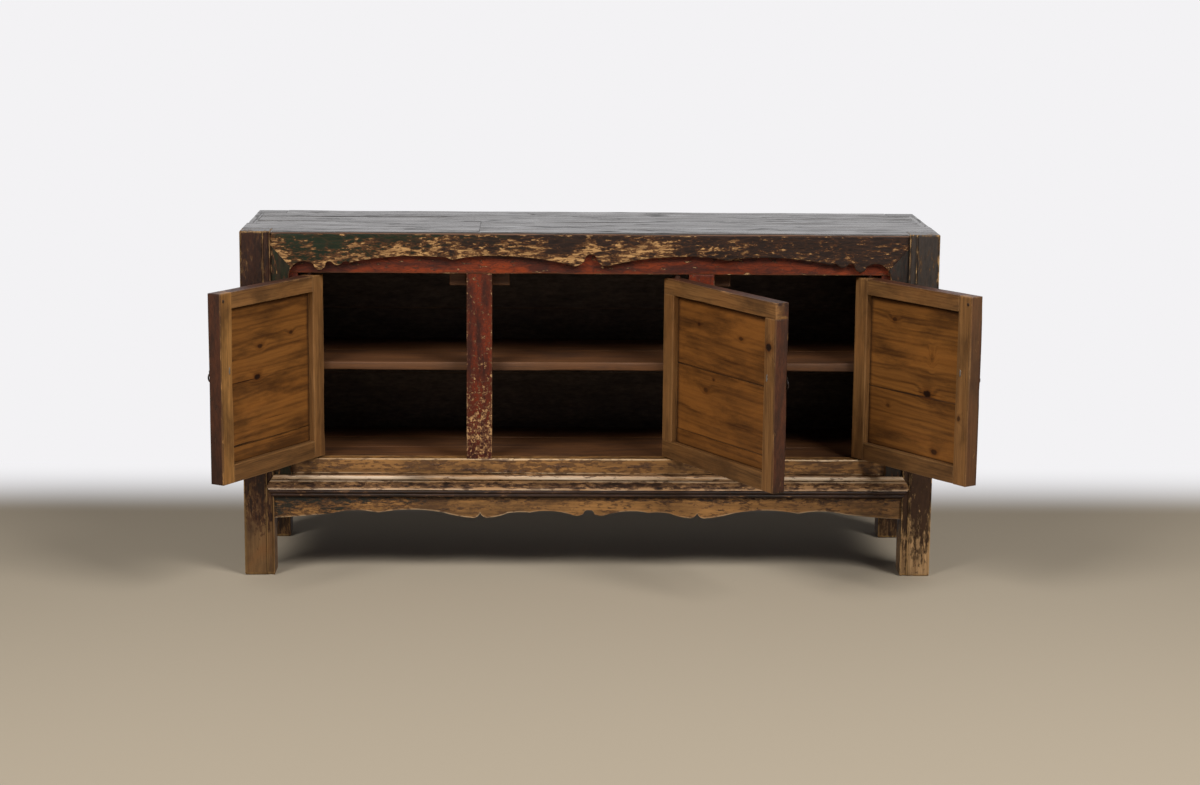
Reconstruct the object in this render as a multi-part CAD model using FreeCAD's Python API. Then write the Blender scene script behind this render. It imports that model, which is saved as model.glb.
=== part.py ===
# Low lacquered cabinet with three pivot doors, a scalloped apron above them and another below.
# Millimetres, with X to the right, Y towards the back and Z up. The origin lies on the floor under
# the middle of the carcass. The doors stand open, turned on their own wooden pivots.
import FreeCAD, Part
import math
import os
from collections import namedtuple

Vector = FreeCAD.Vector
Block = namedtuple("Block", "x0 x1 y0 y1 z0 z1")
Door = namedtuple("Door", "name width height pivot_x side turn seam_shares through pegged")

# Whole carcass
width = 1600.0
depth = 430.0
height = 805.0
fit = 0.2
board_gap = 0.4
overrun = 5.0

# Posts, with two beads and a flute on the inner front edge of the front pair
post_width = 70.0
post_depth = 60.0
post_round = 3.0
foot_chamfer = 4.0
moulding_quirk = 1.0
moulding_bead = 3.5
moulding_flute = 12.0
moulding_sink = 2.0
flute_depth = 2.5

# Frame round the door openings
frame_thickness = 35.0
jamb_width = 60.0
mullion_width = 58.5
middle_opening = 452.0
opening_foot = 274.0
upper_rail_height = 77.0
tenon_length = 26.0
tenon_thickness = 12.0
tenon_shoulder = 8.0
stub_length = 15.0
stub_shoulder = 10.0

# Sill, floor and base
sill_height = 36.0
ledge_depth = 19.0
floor_thickness = 18.0
floor_drop = 3.0
floor_board_count = 3
base_height = 53.0
base_projection = 2.0
base_bead = 11.0
base_small_bead = 8.0
base_quirk = 1.5
base_relief = 5.0
base_small_relief = 3.0
base_hollow = 2.5
base_housing = 10.0
base_point = 18.0

# Upper apron with its side strips, and lower apron
apron_setback = 7.0
apron_thickness = 14.0
apron_drop = 88.0
strip_width = 39.0
mitre_drop = 33.0
mitre_rise = 43.5
lower_setback = 8.0
lower_drop = 50.0
tongue_height = 8.0
tongue_thickness = 6.0

# Half of each scalloped edge from the middle outwards, as arcs: an end, a point between, an end.
# Each pair is a share of the half length and a share of the drop.
upper_scallop_shares = (
    (0.0, 0.557), (0.013, 0.590), (0.019, 0.693),
    (0.036, 0.835), (0.075, 0.824),
    (0.166, 0.693), (0.297, 0.614),
    (0.384, 0.630), (0.460, 0.727),
    (0.472, 0.680), (0.490, 0.657),
    (0.630, 0.635), (0.797, 0.807),
    (0.807, 0.780), (0.820, 0.806),
    (0.838, 0.880), (0.854, 0.812),
    (0.864, 0.778), (0.877, 0.841),
    (0.899, 1.000), (0.916, 0.858),
    (0.952, 0.778), (1.000, 1.165),
)
lower_scallop_shares = (
    (0.0, 0.62), (0.013, 0.66), (0.017, 0.79),
    (0.033, 0.87), (0.055, 0.83),
    (0.085, 0.72), (0.126, 0.65),
    (0.159, 0.66), (0.189, 0.73),
    (0.226, 0.71), (0.260, 0.76),
    (0.290, 0.91), (0.318, 0.97),
    (0.337, 0.93), (0.347, 0.74),
    (0.356, 0.93), (0.378, 0.98),
    (0.419, 0.90), (0.463, 0.74),
    (0.562, 0.60), (0.671, 0.75),
    (0.747, 0.64), (0.822, 0.79),
    (0.904, 0.91), (1.000, 1.00),
)

# Top
top_thickness = 20.0
top_lip = 6.0
front_seam_share = 0.5
middle_seam_share = 0.709
end_strip_width = 20.0
end_strip_share = 0.384

# Side and back walls
back_rail_height = 60.0
wall_rail_thickness = 36.0
wall_rail_setback = 4.0
wall_thickness = 12.0
groove_depth = 8.0
groove_play = 1.0
seat_play = 0.3
back_rail_setback = 5.0
back_board_count = 3

# Shelf
shelf_height_share = 0.507
shelf_thickness = 19.0
shelf_board_count = 2
sweep_room = 2.0
cleat_width = 22.0
bearer_width = 30.0
cleat_height = 30.0

# Door stops behind the upper rail
stop_width = 40.0
stop_thickness = 18.0
stop_drop = 32.0
stop_rise = 30.0

# Doors
door_thickness = 34.0
door_side_gap = 2.0
door_foot_gap = 3.5
side_head_gap = 6.0
middle_head_gap = 10.0
door_stile = 40.0
door_top_rail = 36.0
door_bottom_rail = 40.0
door_tenon = 34.0
door_tenon_shoulder = 6.0
panel_recess = 8.0
left_angle = 120.7
middle_angle = 119.5
right_angle = 124.0
pivot_inset = 25.0
pivot_setback = 12.0
pivot_diameter = 16.0
pivot_play = 0.3
pivot_seat = 9.0
pivot_head = 16.0
lift_room = 12.0
hinge_round = 10.0
peg_diameter = 8.0
peg_inset = 11.0
peg_drop = 17.0
peg_proud = 0.6

# Seams between the boards of each panel, as shares of its height from the top
left_seam_shares = (0.88,)
middle_seam_shares = (0.455, 0.885)
right_seam_shares = (0.6,)

# Ring pulls
pull_inset = 28.0
pull_height_share = 0.59
plate_diameter = 22.0
plate_thickness = 1.5
shank_diameter = 4.2
eye_hole = 6.4
eye_wire = 3.0
eye_reach = 16.0
eye_sag = 5.5
shank_stand = 2.0
ring_diameter = 24.0
ring_wire = 3.6
ring_play = 0.3
tail_width = 4.0
tail_thickness = 1.2
tail_up = 10.0
tail_down = 6.0
tail_point = 3.0
forged_sides = 8
forged_steps = 24

# Planes and lines that several pieces share
half = width / 2
front_y = -depth / 2
back_y = depth / 2
post_inner = half - post_width
apron_y = front_y + apron_setback
frame_y = apron_y + apron_thickness
frame_back = frame_y + frame_thickness
frame_mid = (frame_y + frame_back) / 2
post_back = front_y + post_depth
back_post_front = back_y - post_depth
rail_top = height - top_thickness
opening_top = rail_top - upper_rail_height
sill_foot = opening_foot - sill_height
base_foot = sill_foot - base_height
base_mid = (sill_foot + base_foot) / 2
floor_top = opening_foot - floor_drop
floor_foot = floor_top - floor_thickness
jamb_inner = post_inner - jamb_width
mullion_inner = middle_opening / 2
mullion_outer = mullion_inner + mullion_width
mullion_mid = (mullion_inner + mullion_outer) / 2
strip_inner = post_inner - strip_width
side_rail_outer = half - wall_rail_setback
side_rail_inner = side_rail_outer - wall_rail_thickness
side_mid = (side_rail_outer + side_rail_inner) / 2
side_panel_inner = side_mid - wall_thickness / 2
side_panel_outer = side_mid + wall_thickness / 2
back_rail_back = back_y - back_rail_setback
back_rail_front = back_rail_back - wall_rail_thickness
back_mid = (back_rail_back + back_rail_front) / 2
back_board_front = back_mid - wall_thickness / 2
back_board_back = back_mid + wall_thickness / 2
back_rail_foot = rail_top - back_rail_height
shelf_top = opening_foot + shelf_height_share * (opening_top - opening_foot)
shelf_foot = shelf_top - shelf_thickness
door_foot = opening_foot + door_foot_gap
side_width = jamb_inner - mullion_outer - 2 * door_side_gap
side_height = opening_top - side_head_gap - door_foot
middle_width = middle_opening - 2 * door_side_gap
middle_height = opening_top - middle_head_gap - door_foot
pull_height = pull_height_share * side_height
socket_top = opening_top + pivot_head
hinge_edge = -(pivot_inset - door_side_gap)
stile_edge = hinge_edge + door_stile
outer_face = -pivot_setback
inner_face = door_thickness - pivot_setback
panel_front = outer_face + panel_recess
panel_back = panel_front + wall_thickness
pivot_y = frame_y + pivot_setback
shelf_front = pivot_y + math.hypot(hinge_edge, inner_face) + sweep_room

quarter_share = 1 - math.sqrt(0.5)

doors = (
    Door("door_left", side_width, side_height, pivot_inset - jamb_inner,
         -1, left_angle, left_seam_shares, False, True),
    Door("door_middle", middle_width, middle_height, mullion_inner - pivot_inset,
         1, middle_angle, middle_seam_shares, True, False),
    Door("door_right", side_width, side_height, jamb_inner - pivot_inset,
         1, right_angle, right_seam_shares, False, True),
)


def solid(b):
    """The box that a block stands for."""
    return Part.makeBox(b.x1 - b.x0, b.y1 - b.y0, b.z1 - b.z0, Vector(b.x0, b.y0, b.z0))


def grown(b, gap=fit):
    """The block with a gap added on all six sides."""
    return Block(b.x0 - gap, b.x1 + gap, b.y0 - gap, b.y1 + gap, b.z0 - gap, b.z1 + gap)


def flipped(shape):
    """The same shape on the other side of the middle of the cabinet."""
    return shape.mirror(Vector(), Vector(1, 0, 0))


def wire(start, *steps):
    """A closed wire. A step of one point is a line to it, of two an arc through the first."""
    edges = []
    here = start
    for step in steps:
        there = step[-1]
        if len(step) == 1:
            edges.append(Part.makeLine(here, there))
        else:
            edges.append(Part.Arc(here, step[0], there).toShape())
        here = there
    return Part.Wire(edges)


def cut(shape, blocks):
    """The shape with each block cut out of it."""
    for b in blocks:
        shape = shape.cut(solid(b))
    return shape


def join(shape, blocks):
    """The shape with each block added to it, as one clean solid."""
    for b in blocks:
        shape = shape.fuse(solid(b))
    return shape.removeSplitter()


def rod(diameter, start, along):
    """A round rod from a point, along a vector."""
    return Part.makeCylinder(diameter / 2, along.Length, start, along)


def export(name, *shapes):
    """Write a node, made of one solid or a group of them."""
    shape = shapes[0] if len(shapes) == 1 else Part.makeCompound(shapes)
    shape.exportStep("parts/" + name + ".step")


# Joints of the carcass, given for the right-hand side


def frame_tenon(z0, z1):
    """Tenon of a front rail, in the inner side of a front post."""
    return Block(post_inner, post_inner + tenon_length,
                 frame_mid - tenon_thickness / 2, frame_mid + tenon_thickness / 2,
                 z0 + tenon_shoulder, z1 - tenon_shoulder)


def back_tenon(z0, z1):
    """Tenon of a back rail, in the inner side of a back post."""
    return Block(post_inner, post_inner + tenon_length,
                 back_mid - tenon_thickness / 2, back_mid + tenon_thickness / 2,
                 z0 + tenon_shoulder, z1 - tenon_shoulder)


def side_tenon(face_y, inwards, z0, z1):
    """Tenon of a side rail, in the face of a post that looks along the side."""
    ends = sorted((face_y, face_y + inwards * tenon_length))
    return Block(side_mid - tenon_thickness / 2, side_mid + tenon_thickness / 2,
                 ends[0], ends[1], z0 + tenon_shoulder, z1 - tenon_shoulder)


def stub_tenon(x0, x1, z0, z1):
    """Short tenon on the end of a jamb or a mullion."""
    return Block(x0 + stub_shoulder, x1 - stub_shoulder,
                 frame_mid - tenon_thickness / 2, frame_mid + tenon_thickness / 2, z0, z1)


front_tenons = {
    "upper": frame_tenon(opening_top, rail_top),
    "sill": frame_tenon(sill_foot, opening_foot),
    "base": frame_tenon(base_foot, sill_foot),
}
back_tenons = {
    "upper": back_tenon(back_rail_foot, rail_top),
    "lower": back_tenon(base_foot, floor_foot),
}
side_levels = {"upper": (back_rail_foot, rail_top), "lower": (base_foot, floor_foot)}
upright_spans = (
    (-post_inner, -jamb_inner), (-mullion_outer, -mullion_inner),
    (mullion_inner, mullion_outer), (jamb_inner, post_inner),
)


def pointed_shoulder():
    """Front part of the base rail, whose pointed ends are let into both front posts."""
    corners = (
        (-post_inner, base_foot), (-post_inner - base_point, base_mid), (-post_inner, sill_foot),
        (post_inner, sill_foot), (post_inner + base_point, base_mid), (post_inner, base_foot),
    )
    points = [Vector(x, front_y - base_projection - overrun, z) for x, z in corners]
    face = Part.Face(Part.makePolygon(points + points[:1]))
    return face.extrude(Vector(0, base_projection + overrun + base_housing, 0))


# Posts


def post_envelope(y0, y1):
    """Four-sided body of a post, with its foot drawn in a little all round."""
    def ring(inset, z):
        corners = (
            Vector(post_inner + inset, y0 + inset, z), Vector(half - inset, y0 + inset, z),
            Vector(half - inset, y1 - inset, z), Vector(post_inner + inset, y1 - inset, z),
        )
        return Part.makePolygon(corners + corners[:1])
    return Part.makeLoft([ring(foot_chamfer, 0), ring(0, foot_chamfer), ring(0, height)], True, True)


def front_post():
    """Right front post, its moulded section run from the floor to the top."""
    flat = post_width - moulding_quirk - 2 * moulding_bead - moulding_flute
    bead_1 = flat + moulding_quirk
    flute = bead_1 + moulding_bead
    bead_2 = flute + moulding_flute
    crest = moulding_sink - moulding_bead / 2
    corner = post_round * quarter_share

    def at(inwards, backwards):
        return Vector(half - inwards, front_y + backwards, 0)

    section = wire(
        at(post_round, 0),
        (at(flat, 0),), (at(flat, moulding_sink),), (at(bead_1, moulding_sink),),
        (at(bead_1 + moulding_bead / 2, crest), at(flute, moulding_sink)),
        (at(flute + moulding_flute / 2, moulding_sink + flute_depth), at(bead_2, moulding_sink)),
        (at(bead_2 + moulding_bead / 2, crest), at(post_width, moulding_sink)),
        (at(post_width, post_depth),), (at(0, post_depth),), (at(0, post_round),),
        (at(corner, corner), at(post_round, 0)),
    )
    post = Part.Face(section).extrude(Vector(0, 0, height))
    post = post.common(post_envelope(front_y, post_back))
    slots = [grown(b) for b in front_tenons.values()]
    slots += [grown(side_tenon(post_back, -1, z0, z1)) for z0, z1 in side_levels.values()]
    slots.append(side_groove(post_back - groove_depth, post_back + overrun))
    return cut(post, slots).cut(pointed_shoulder())


def back_post():
    """Right back post, square in section, grooved for the side panel and the back boards."""
    post = post_envelope(back_post_front, back_y)
    slots = [grown(b) for b in back_tenons.values()]
    slots += [grown(side_tenon(back_post_front, 1, z0, z1)) for z0, z1 in side_levels.values()]
    slots.append(side_groove(back_post_front - overrun, back_post_front + groove_depth))
    slots.append(Block(post_inner - overrun, post_inner + groove_depth,
                       back_board_front - fit, back_board_back + fit,
                       floor_foot - groove_depth, back_rail_foot + groove_depth))
    return cut(post, slots)


def side_groove(y0, y1):
    """Upright groove for the edge of a side panel."""
    return Block(side_panel_inner - fit, side_panel_outer + fit, y0, y1,
                 floor_foot - groove_depth, back_rail_foot + groove_depth)


def make_posts():
    """The four posts."""
    for name, post in (("front", front_post()), ("back", back_post())):
        export("post_" + name + "_right", post)
        export("post_" + name + "_left", flipped(post))


# Frame round the doors


def both_ends(b):
    """A block on the right and its twin on the left."""
    return [b, Block(-b.x1, -b.x0, b.y0, b.y1, b.z0, b.z1)]


def pivot_sockets(z0, z1):
    """Round sockets for one end of each of the three doors."""
    bore = pivot_diameter + 2 * pivot_play
    return [rod(bore, Vector(d.pivot_x, pivot_y, z0), Vector(0, 0, z1 - z0)) for d in doors]


def make_frame():
    """Upper rail, jambs, mullions and sill, joined by tenons, with the sockets of the doors."""
    rail = solid(Block(-post_inner, post_inner, frame_y, frame_back, opening_top, rail_top))
    rail = join(rail, both_ends(front_tenons["upper"]))
    sill = solid(Block(-post_inner, post_inner, frame_y, frame_back, sill_foot, opening_foot))
    ledge = Block(-post_inner, post_inner, frame_back, frame_back + ledge_depth, sill_foot, floor_foot)
    sill = join(sill, both_ends(front_tenons["sill"]) + [ledge])
    names = ("jamb_left", "mullion_left", "mullion_right", "jamb_right")
    for name, (x0, x1) in zip(names, upright_spans):
        head = stub_tenon(x0, x1, opening_top, opening_top + stub_length)
        foot = stub_tenon(x0, x1, opening_foot - stub_length, opening_foot)
        upright = solid(Block(x0, x1, frame_y, frame_back, opening_foot, opening_top))
        export(name, join(upright, [head, foot]))
        rail = cut(rail, [grown(head)])
        sill = cut(sill, [grown(foot)])
    for socket in pivot_sockets(opening_top - overrun, socket_top + lift_room):
        rail = rail.cut(socket)
    for socket in pivot_sockets(opening_foot - pivot_seat - pivot_play, opening_foot + overrun):
        sill = sill.cut(socket)
    export("upper_front_rail", rail)
    export("sill", sill)


# Base rail and aprons


def base_section():
    """Section of the base rail: a round bead on top, a hollow band and two small beads."""
    face = front_y - base_projection
    root = face + base_relief

    def at(backwards, z):
        return Vector(-half, backwards, z)

    def bead(top, size, relief):
        return (at(root - relief, top - size / 2), at(root, top - size))

    band_top = sill_foot - base_bead - base_quirk
    beads_top = base_foot + 2 * base_small_bead + base_quirk
    band_foot = beads_top + base_quirk
    band_mid = (band_top + band_foot) / 2
    lip = face + base_relief / 2
    return wire(
        at(frame_back, base_foot), (at(frame_back, sill_foot),), (at(root, sill_foot),),
        bead(sill_foot, base_bead, base_relief), (at(root, band_top),), (at(lip, band_top),),
        (at(lip + base_hollow, band_mid), at(lip, band_foot)), (at(root, band_foot),),
        (at(root, beads_top),), bead(beads_top, base_small_bead, base_small_relief),
        bead(beads_top - base_small_bead, base_small_bead, base_small_relief),
        (at(root, base_foot),), (at(frame_back, base_foot),),
    )


def make_base():
    """Moulded base rail between the front posts, grooved below for the lower apron."""
    bar = Part.Face(base_section()).extrude(Vector(width, 0, 0))
    behind = Block(-post_inner, post_inner, front_y + base_housing, frame_back, base_foot, sill_foot)
    rail = bar.common(pointed_shoulder().fuse(solid(behind)))
    rail = join(rail, both_ends(front_tenons["base"]))
    export("base_rail", cut(rail, [grown(lower_tongue())]))


def lower_tongue():
    """Tongue along the top of the lower apron."""
    middle = front_y + lower_setback + apron_thickness / 2
    return Block(-post_inner, post_inner, middle - tongue_thickness / 2, middle + tongue_thickness / 2,
                 base_foot, base_foot + tongue_height)


def scalloped_plate(shares, half_length, drop_top, drop, y, edge_steps):
    """Upright plate whose lower edge is scalloped alike on both sides of the middle."""
    def at(share, side):
        return Vector(side * share[0] * half_length, y, drop_top - share[1] * drop)

    right = [at(share, 1) for share in shares]
    left = [at(share, -1) for share in reversed(shares)]
    run = left + right[1:]
    arcs = [(run[i], run[i + 1]) for i in range(1, len(run) - 1, 2)]
    outline = wire(run[0], *arcs, *edge_steps, (run[0],))
    return Part.Face(outline).extrude(Vector(0, apron_thickness, 0))


def make_lower_apron():
    """Scalloped apron under the base rail."""
    y = front_y + lower_setback
    corners = ((Vector(post_inner, y, base_foot),), (Vector(-post_inner, y, base_foot),))
    plate = scalloped_plate(lower_scallop_shares, post_inner, base_foot, lower_drop, y, corners)
    export("lower_apron", join(plate, [lower_tongue()]))


def mitre_prism():
    """Space of the right side strip, bounded above by the sloping line of the mitre."""
    top = height - mitre_drop
    slope = mitre_rise / strip_width
    reach = 2 * strip_width
    corners = (
        (post_inner + overrun, sill_foot - overrun), (post_inner + overrun, top + overrun * slope),
        (post_inner - reach, top - reach * slope), (post_inner - reach, sill_foot - overrun),
    )
    points = [Vector(x, apron_y - overrun, z) for x, z in corners]
    face = Part.Face(Part.makePolygon(points + points[:1]))
    return face.extrude(Vector(0, apron_thickness + 2 * overrun, 0))


def make_upper_apron():
    """Scalloped apron under the top, mitred to the strips beside the outer doors."""
    apron_top = height - top_lip
    corners = [
        (strip_inner, sill_foot), (post_inner, sill_foot), (post_inner, apron_top),
        (-post_inner, apron_top), (-post_inner, sill_foot), (-strip_inner, sill_foot),
    ]
    steps = [(Vector(x, apron_y, z),) for x, z in corners]
    plate = scalloped_plate(upper_scallop_shares, strip_inner, height, apron_drop, apron_y, steps)
    strip = plate.common(mitre_prism())
    export("apron_side_right", strip)
    export("apron_side_left", flipped(strip))
    export("upper_apron", plate.cut(mitre_prism()).cut(flipped(mitre_prism())))


# Side and back walls


def make_walls():
    """Side and back rails, with the panels and boards that float in their grooves."""
    for level, (z0, z1) in side_levels.items():
        rail = solid(Block(side_rail_inner, side_rail_outer, post_back, back_post_front, z0, z1))
        rail = join(rail, [side_tenon(post_back, -1, z0, z1), side_tenon(back_post_front, 1, z0, z1)])
        slot = wall_slot(level)
        rail = cut(rail, [Block(side_panel_inner - fit, side_panel_outer + fit,
                                post_back - overrun, back_post_front + overrun, *slot)])
        export(level + "_side_rail_right", rail)
        export(level + "_side_rail_left", flipped(rail))
        bar = solid(Block(-post_inner, post_inner, back_rail_front, back_rail_back, z0, z1))
        bar = join(bar, both_ends(back_tenons[level]))
        export(level + "_back_rail", cut(bar, [Block(-post_inner - overrun, post_inner + overrun,
                                                     back_board_front - fit, back_board_back + fit,
                                                     *slot)]))
    reach = groove_depth - groove_play
    wall_foot = floor_foot - groove_depth + seat_play
    wall_top = back_rail_foot + reach
    panel = solid(Block(side_panel_inner, side_panel_outer, post_back - reach, back_post_front + reach,
                        wall_foot, wall_top))
    export("side_panel_right", panel)
    export("side_panel_left", flipped(panel))
    step = (wall_top - wall_foot) / back_board_count
    boards = [solid(Block(-post_inner - reach, post_inner + reach, back_board_front, back_board_back,
                          wall_foot + i * step, wall_foot + (i + 1) * step - board_gap))
              for i in range(back_board_count)]
    export("back_boards", *boards)


def wall_slot(level):
    """Heights of the groove in an upper or a lower wall rail."""
    if level == "upper":
        return (back_rail_foot - overrun, back_rail_foot + groove_depth)
    return (floor_foot - groove_depth, floor_foot + overrun)


# Boards that lie flat


def post_blocks():
    """Room that boards leave round the four posts."""
    spans = ((front_y, post_back), (back_post_front, back_y))
    blocks = []
    for y0, y1 in spans:
        blocks += both_ends(Block(post_inner, half, y0, y1, 0, height))
    return [grown(b) for b in blocks]


def make_floor_and_shelf():
    """Floor boards on the lower rails, and a long shelf on cleats and bearers, clear of the doors."""
    side = side_panel_inner - groove_play
    back = back_board_front - fit
    front = frame_back + fit
    step = (back - front) / floor_board_count
    boards = [cut(solid(Block(-side, side, front + i * step, front + (i + 1) * step - board_gap,
                              floor_foot, floor_top)), post_blocks())
              for i in range(floor_board_count)]
    export("floor_boards", *boards)
    step = (back - shelf_front) / shelf_board_count
    for i, name in enumerate(("shelf_front_board", "shelf_back_board")):
        board = solid(Block(-side, side, shelf_front + i * step, shelf_front + (i + 1) * step - board_gap,
                            shelf_foot, shelf_top))
        export(name, cut(board, post_blocks()))
    z0 = shelf_foot - cleat_height
    cleat = Block(side_panel_inner - cleat_width, side_panel_inner, post_back, back_post_front,
                  z0, shelf_foot)
    export("shelf_cleats", *[solid(b) for b in both_ends(cleat)])
    bearer = Block(mullion_mid - bearer_width / 2, mullion_mid + bearer_width / 2,
                   frame_back, back_board_front, z0, shelf_foot)
    export("shelf_bearers", *[solid(b) for b in both_ends(bearer)])


def make_top():
    """Top boards, notched round the posts, whose front edge laps over the apron as a thin lip."""
    strip = Block(half - end_strip_width, half, front_y + end_strip_share * depth, back_post_front - fit,
                  rail_top, height)
    lap = Block(-half, half, apron_y - overrun, frame_y + fit, rail_top - overrun, height - top_lip)
    room = post_blocks() + [grown(b) for b in both_ends(strip)]
    joint = -mullion_mid
    seam_1 = front_y + front_seam_share * depth
    seam_2 = front_y + middle_seam_share * depth
    spans = {
        "top_front_board_left": (-half, joint - board_gap, apron_y, seam_1 - board_gap),
        "top_front_board_right": (joint, half, apron_y, seam_1 - board_gap),
        "top_middle_board": (-half, half, seam_1, seam_2 - board_gap),
        "top_back_board": (-half, half, seam_2, back_y),
    }
    for name, (x0, x1, y0, y1) in spans.items():
        board = cut(solid(Block(x0, x1, y0, y1, rail_top, height)), room + [lap])
        export(name, board)
    export("top_end_strips", *[solid(b) for b in both_ends(strip)])


def make_stops():
    """Three blocks behind the upper rail, one for the free edge of each door."""
    edges = (-mullion_outer - stop_width, -mullion_inner, mullion_outer)
    stops = [solid(Block(x, x + stop_width, frame_back, frame_back + stop_thickness,
                         opening_top - stop_drop, opening_top + stop_rise)) for x in edges]
    export("door_stops", *stops)


# Doors, each made with its pivot at the origin and its free edge towards +X


def placed(shape, door):
    """A piece of a door, set at its hinge and turned open."""
    if door.side > 0:
        shape = flipped(shape)
    shape = shape.copy()
    shape.rotate(Vector(), Vector(0, 0, 1), door.side * door.turn)
    shape.translate(Vector(door.pivot_x, pivot_y, door_foot))
    return shape


def hinge_bar(x1, z0, z1):
    """Bar from the hinge edge, rounded where it passes the jamb."""
    corner = hinge_round * quarter_share

    def at(x, y):
        return Vector(x, y, z0)

    section = wire(
        at(hinge_edge + hinge_round, outer_face), (at(x1, outer_face),), (at(x1, inner_face),),
        (at(hinge_edge, inner_face),), (at(hinge_edge, outer_face + hinge_round),),
        (at(hinge_edge + corner, outer_face + corner), at(hinge_edge + hinge_round, outer_face)),
    )
    return Part.Face(section).extrude(Vector(0, 0, z1 - z0))


def panel_slot(x0, x1, z0, z1):
    """Groove, tenon or mortise in the middle of the thickness of a door."""
    return Block(x0, x1, panel_front, panel_back, z0, z1)


def pivot_rods(door, diameter):
    """Round pivots at the foot and the head of a hinge stile, and their passage through rails."""
    foot = -door_foot_gap - pivot_seat
    low = rod(diameter, Vector(0, 0, foot), Vector(0, 0, door_bottom_rail - foot))
    high_foot = door.height - door_top_rail
    high = rod(diameter, Vector(0, 0, high_foot), Vector(0, 0, socket_top - door_foot - high_foot))
    return [low, high]


def door_tenons(door):
    """Tenons of the rails, by the piece that carries them."""
    free_stile = hinge_edge + door.width - door_stile
    low = (door_tenon_shoulder, door_bottom_rail - groove_depth)
    high = (door.height - door_top_rail + groove_depth, door.height - door_tenon_shoulder)
    at_hinge = (stile_edge - door_tenon, stile_edge)
    at_free = (free_stile, free_stile + door_tenon)
    if door.through:
        upright = panel_slot(free_stile + groove_depth + groove_play,
                             free_stile + door_stile - door_tenon_shoulder,
                             door.height - door_top_rail, door.height - door_tenon_shoulder)
        return {"top_rail": [], "bottom_rail": [panel_slot(*at_free, *low)], "free_stile": [upright]}
    return {
        "top_rail": [panel_slot(*at_hinge, *high), panel_slot(*at_free, *high)],
        "bottom_rail": [panel_slot(*at_hinge, *low), panel_slot(*at_free, *low)],
        "free_stile": [],
    }


def door_pieces(door):
    """Stiles, rails and panel boards of one door."""
    free_edge = hinge_edge + door.width
    free_stile = free_edge - door_stile
    head = door.height - door_top_rail
    tenons = door_tenons(door)
    stile_foot = door_bottom_rail if door.through else 0
    stile_head = head if door.through else door.height
    tall = (door_bottom_rail - groove_depth, head + groove_depth)
    mortises = [grown(b) for name in ("top_rail", "bottom_rail") for b in tenons[name]]

    hinge = hinge_bar(stile_edge, stile_foot, stile_head)
    for pivot in pivot_rods(door, pivot_diameter):
        hinge = hinge.fuse(pivot)
    hinge = cut(hinge.removeSplitter(), mortises)
    hinge = cut(hinge, [grown(panel_slot(stile_edge - groove_depth, stile_edge + overrun, *tall))])

    free = solid(Block(free_stile, free_edge, outer_face, inner_face, 0, stile_head))
    free = cut(free, mortises)
    free = cut(free, [grown(panel_slot(free_stile - overrun, free_stile + groove_depth, *tall))])
    free = join(free, tenons["free_stile"])
    free = free.cut(pull_bore(door))

    rails = {}
    for name, z0, z1 in (("top_rail", head, door.height), ("bottom_rail", 0, door_bottom_rail)):
        if door.through:
            rail = hinge_bar(free_edge if name == "top_rail" else free_stile, z0, z1)
            for bore in pivot_rods(door, pivot_diameter + 2 * fit):
                rail = rail.cut(bore)
        else:
            rail = solid(Block(stile_edge, free_stile, outer_face, inner_face, z0, z1))
        rail = join(rail, tenons[name])
        rail = cut(rail, [grown(b) for b in tenons["free_stile"]])
        past = groove_depth if door.through else 0
        slot = panel_slot(stile_edge - past, free_stile + past, *tall)
        rails[name] = cut(rail, [grown(slot)])

    pieces = {"hinge_stile": [hinge], "free_stile": [free],
              "top_rail": [rails["top_rail"]], "bottom_rail": [rails["bottom_rail"]],
              "panel": panel_boards(door, free_stile, head)}
    if door.pegged:
        pieces["free_stile"] = [free.cut(peg(door, peg_diameter + 2 * fit))]
        pieces["top_rail"] = [rails["top_rail"].cut(peg(door, peg_diameter + 2 * fit))]
        pieces["peg"] = [peg(door, peg_diameter)]
    return pieces


def panel_boards(door, free_stile, head):
    """Level boards of the panel, with their ends and edges in the grooves."""
    reach = groove_depth - groove_play
    foot = door_bottom_rail - groove_depth
    top = head + reach
    seams = [top - share * (top - foot) for share in reversed(door.seam_shares)]
    bounds = [foot] + seams + [top + board_gap]
    return [solid(panel_slot(stile_edge - reach, free_stile + reach, z0, z1 - board_gap))
            for z0, z1 in zip(bounds, bounds[1:])]


def peg(door, diameter):
    """Peg through the upper joint of the free stile, a little proud inside the door."""
    start = Vector(hinge_edge + door.width - peg_inset, outer_face, door.height - peg_drop)
    return rod(diameter, start, Vector(0, door_thickness + peg_proud, 0))


# Ring pulls


def pull_x(door):
    """Distance from the pivots to the pull."""
    return hinge_edge + door.width - pull_inset


def pull_bore(door):
    """Hole for the split pin through the free stile."""
    start = Vector(pull_x(door), outer_face - overrun, pull_height)
    return rod(shank_diameter + 2 * fit, start, Vector(0, door_thickness + 2 * overrun, 0))


def forged_ring(radius, thickness, centre, axis):
    """Closed ring of forged wire about a level axis, left with the flats of the hammer."""
    side = axis.cross(Vector(0, 0, 1))

    def corner(step, flat):
        around = 2 * math.pi * step / forged_steps
        across = 2 * math.pi * flat / forged_sides
        outward = side * math.cos(around) + Vector(0, 0, 1) * math.sin(around)
        reach = radius + math.cos(across) * thickness / 2
        return centre + outward * reach + axis * (math.sin(across) * thickness / 2)

    flats = []
    for step in range(forged_steps):
        for flat in range(forged_sides):
            corners = [corner(step, flat), corner(step + 1, flat),
                       corner(step + 1, flat + 1), corner(step, flat + 1)]
            flats.append(Part.Face(Part.makePolygon(corners + corners[:1])))
    return Part.Solid(Part.Shell(flats))


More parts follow.
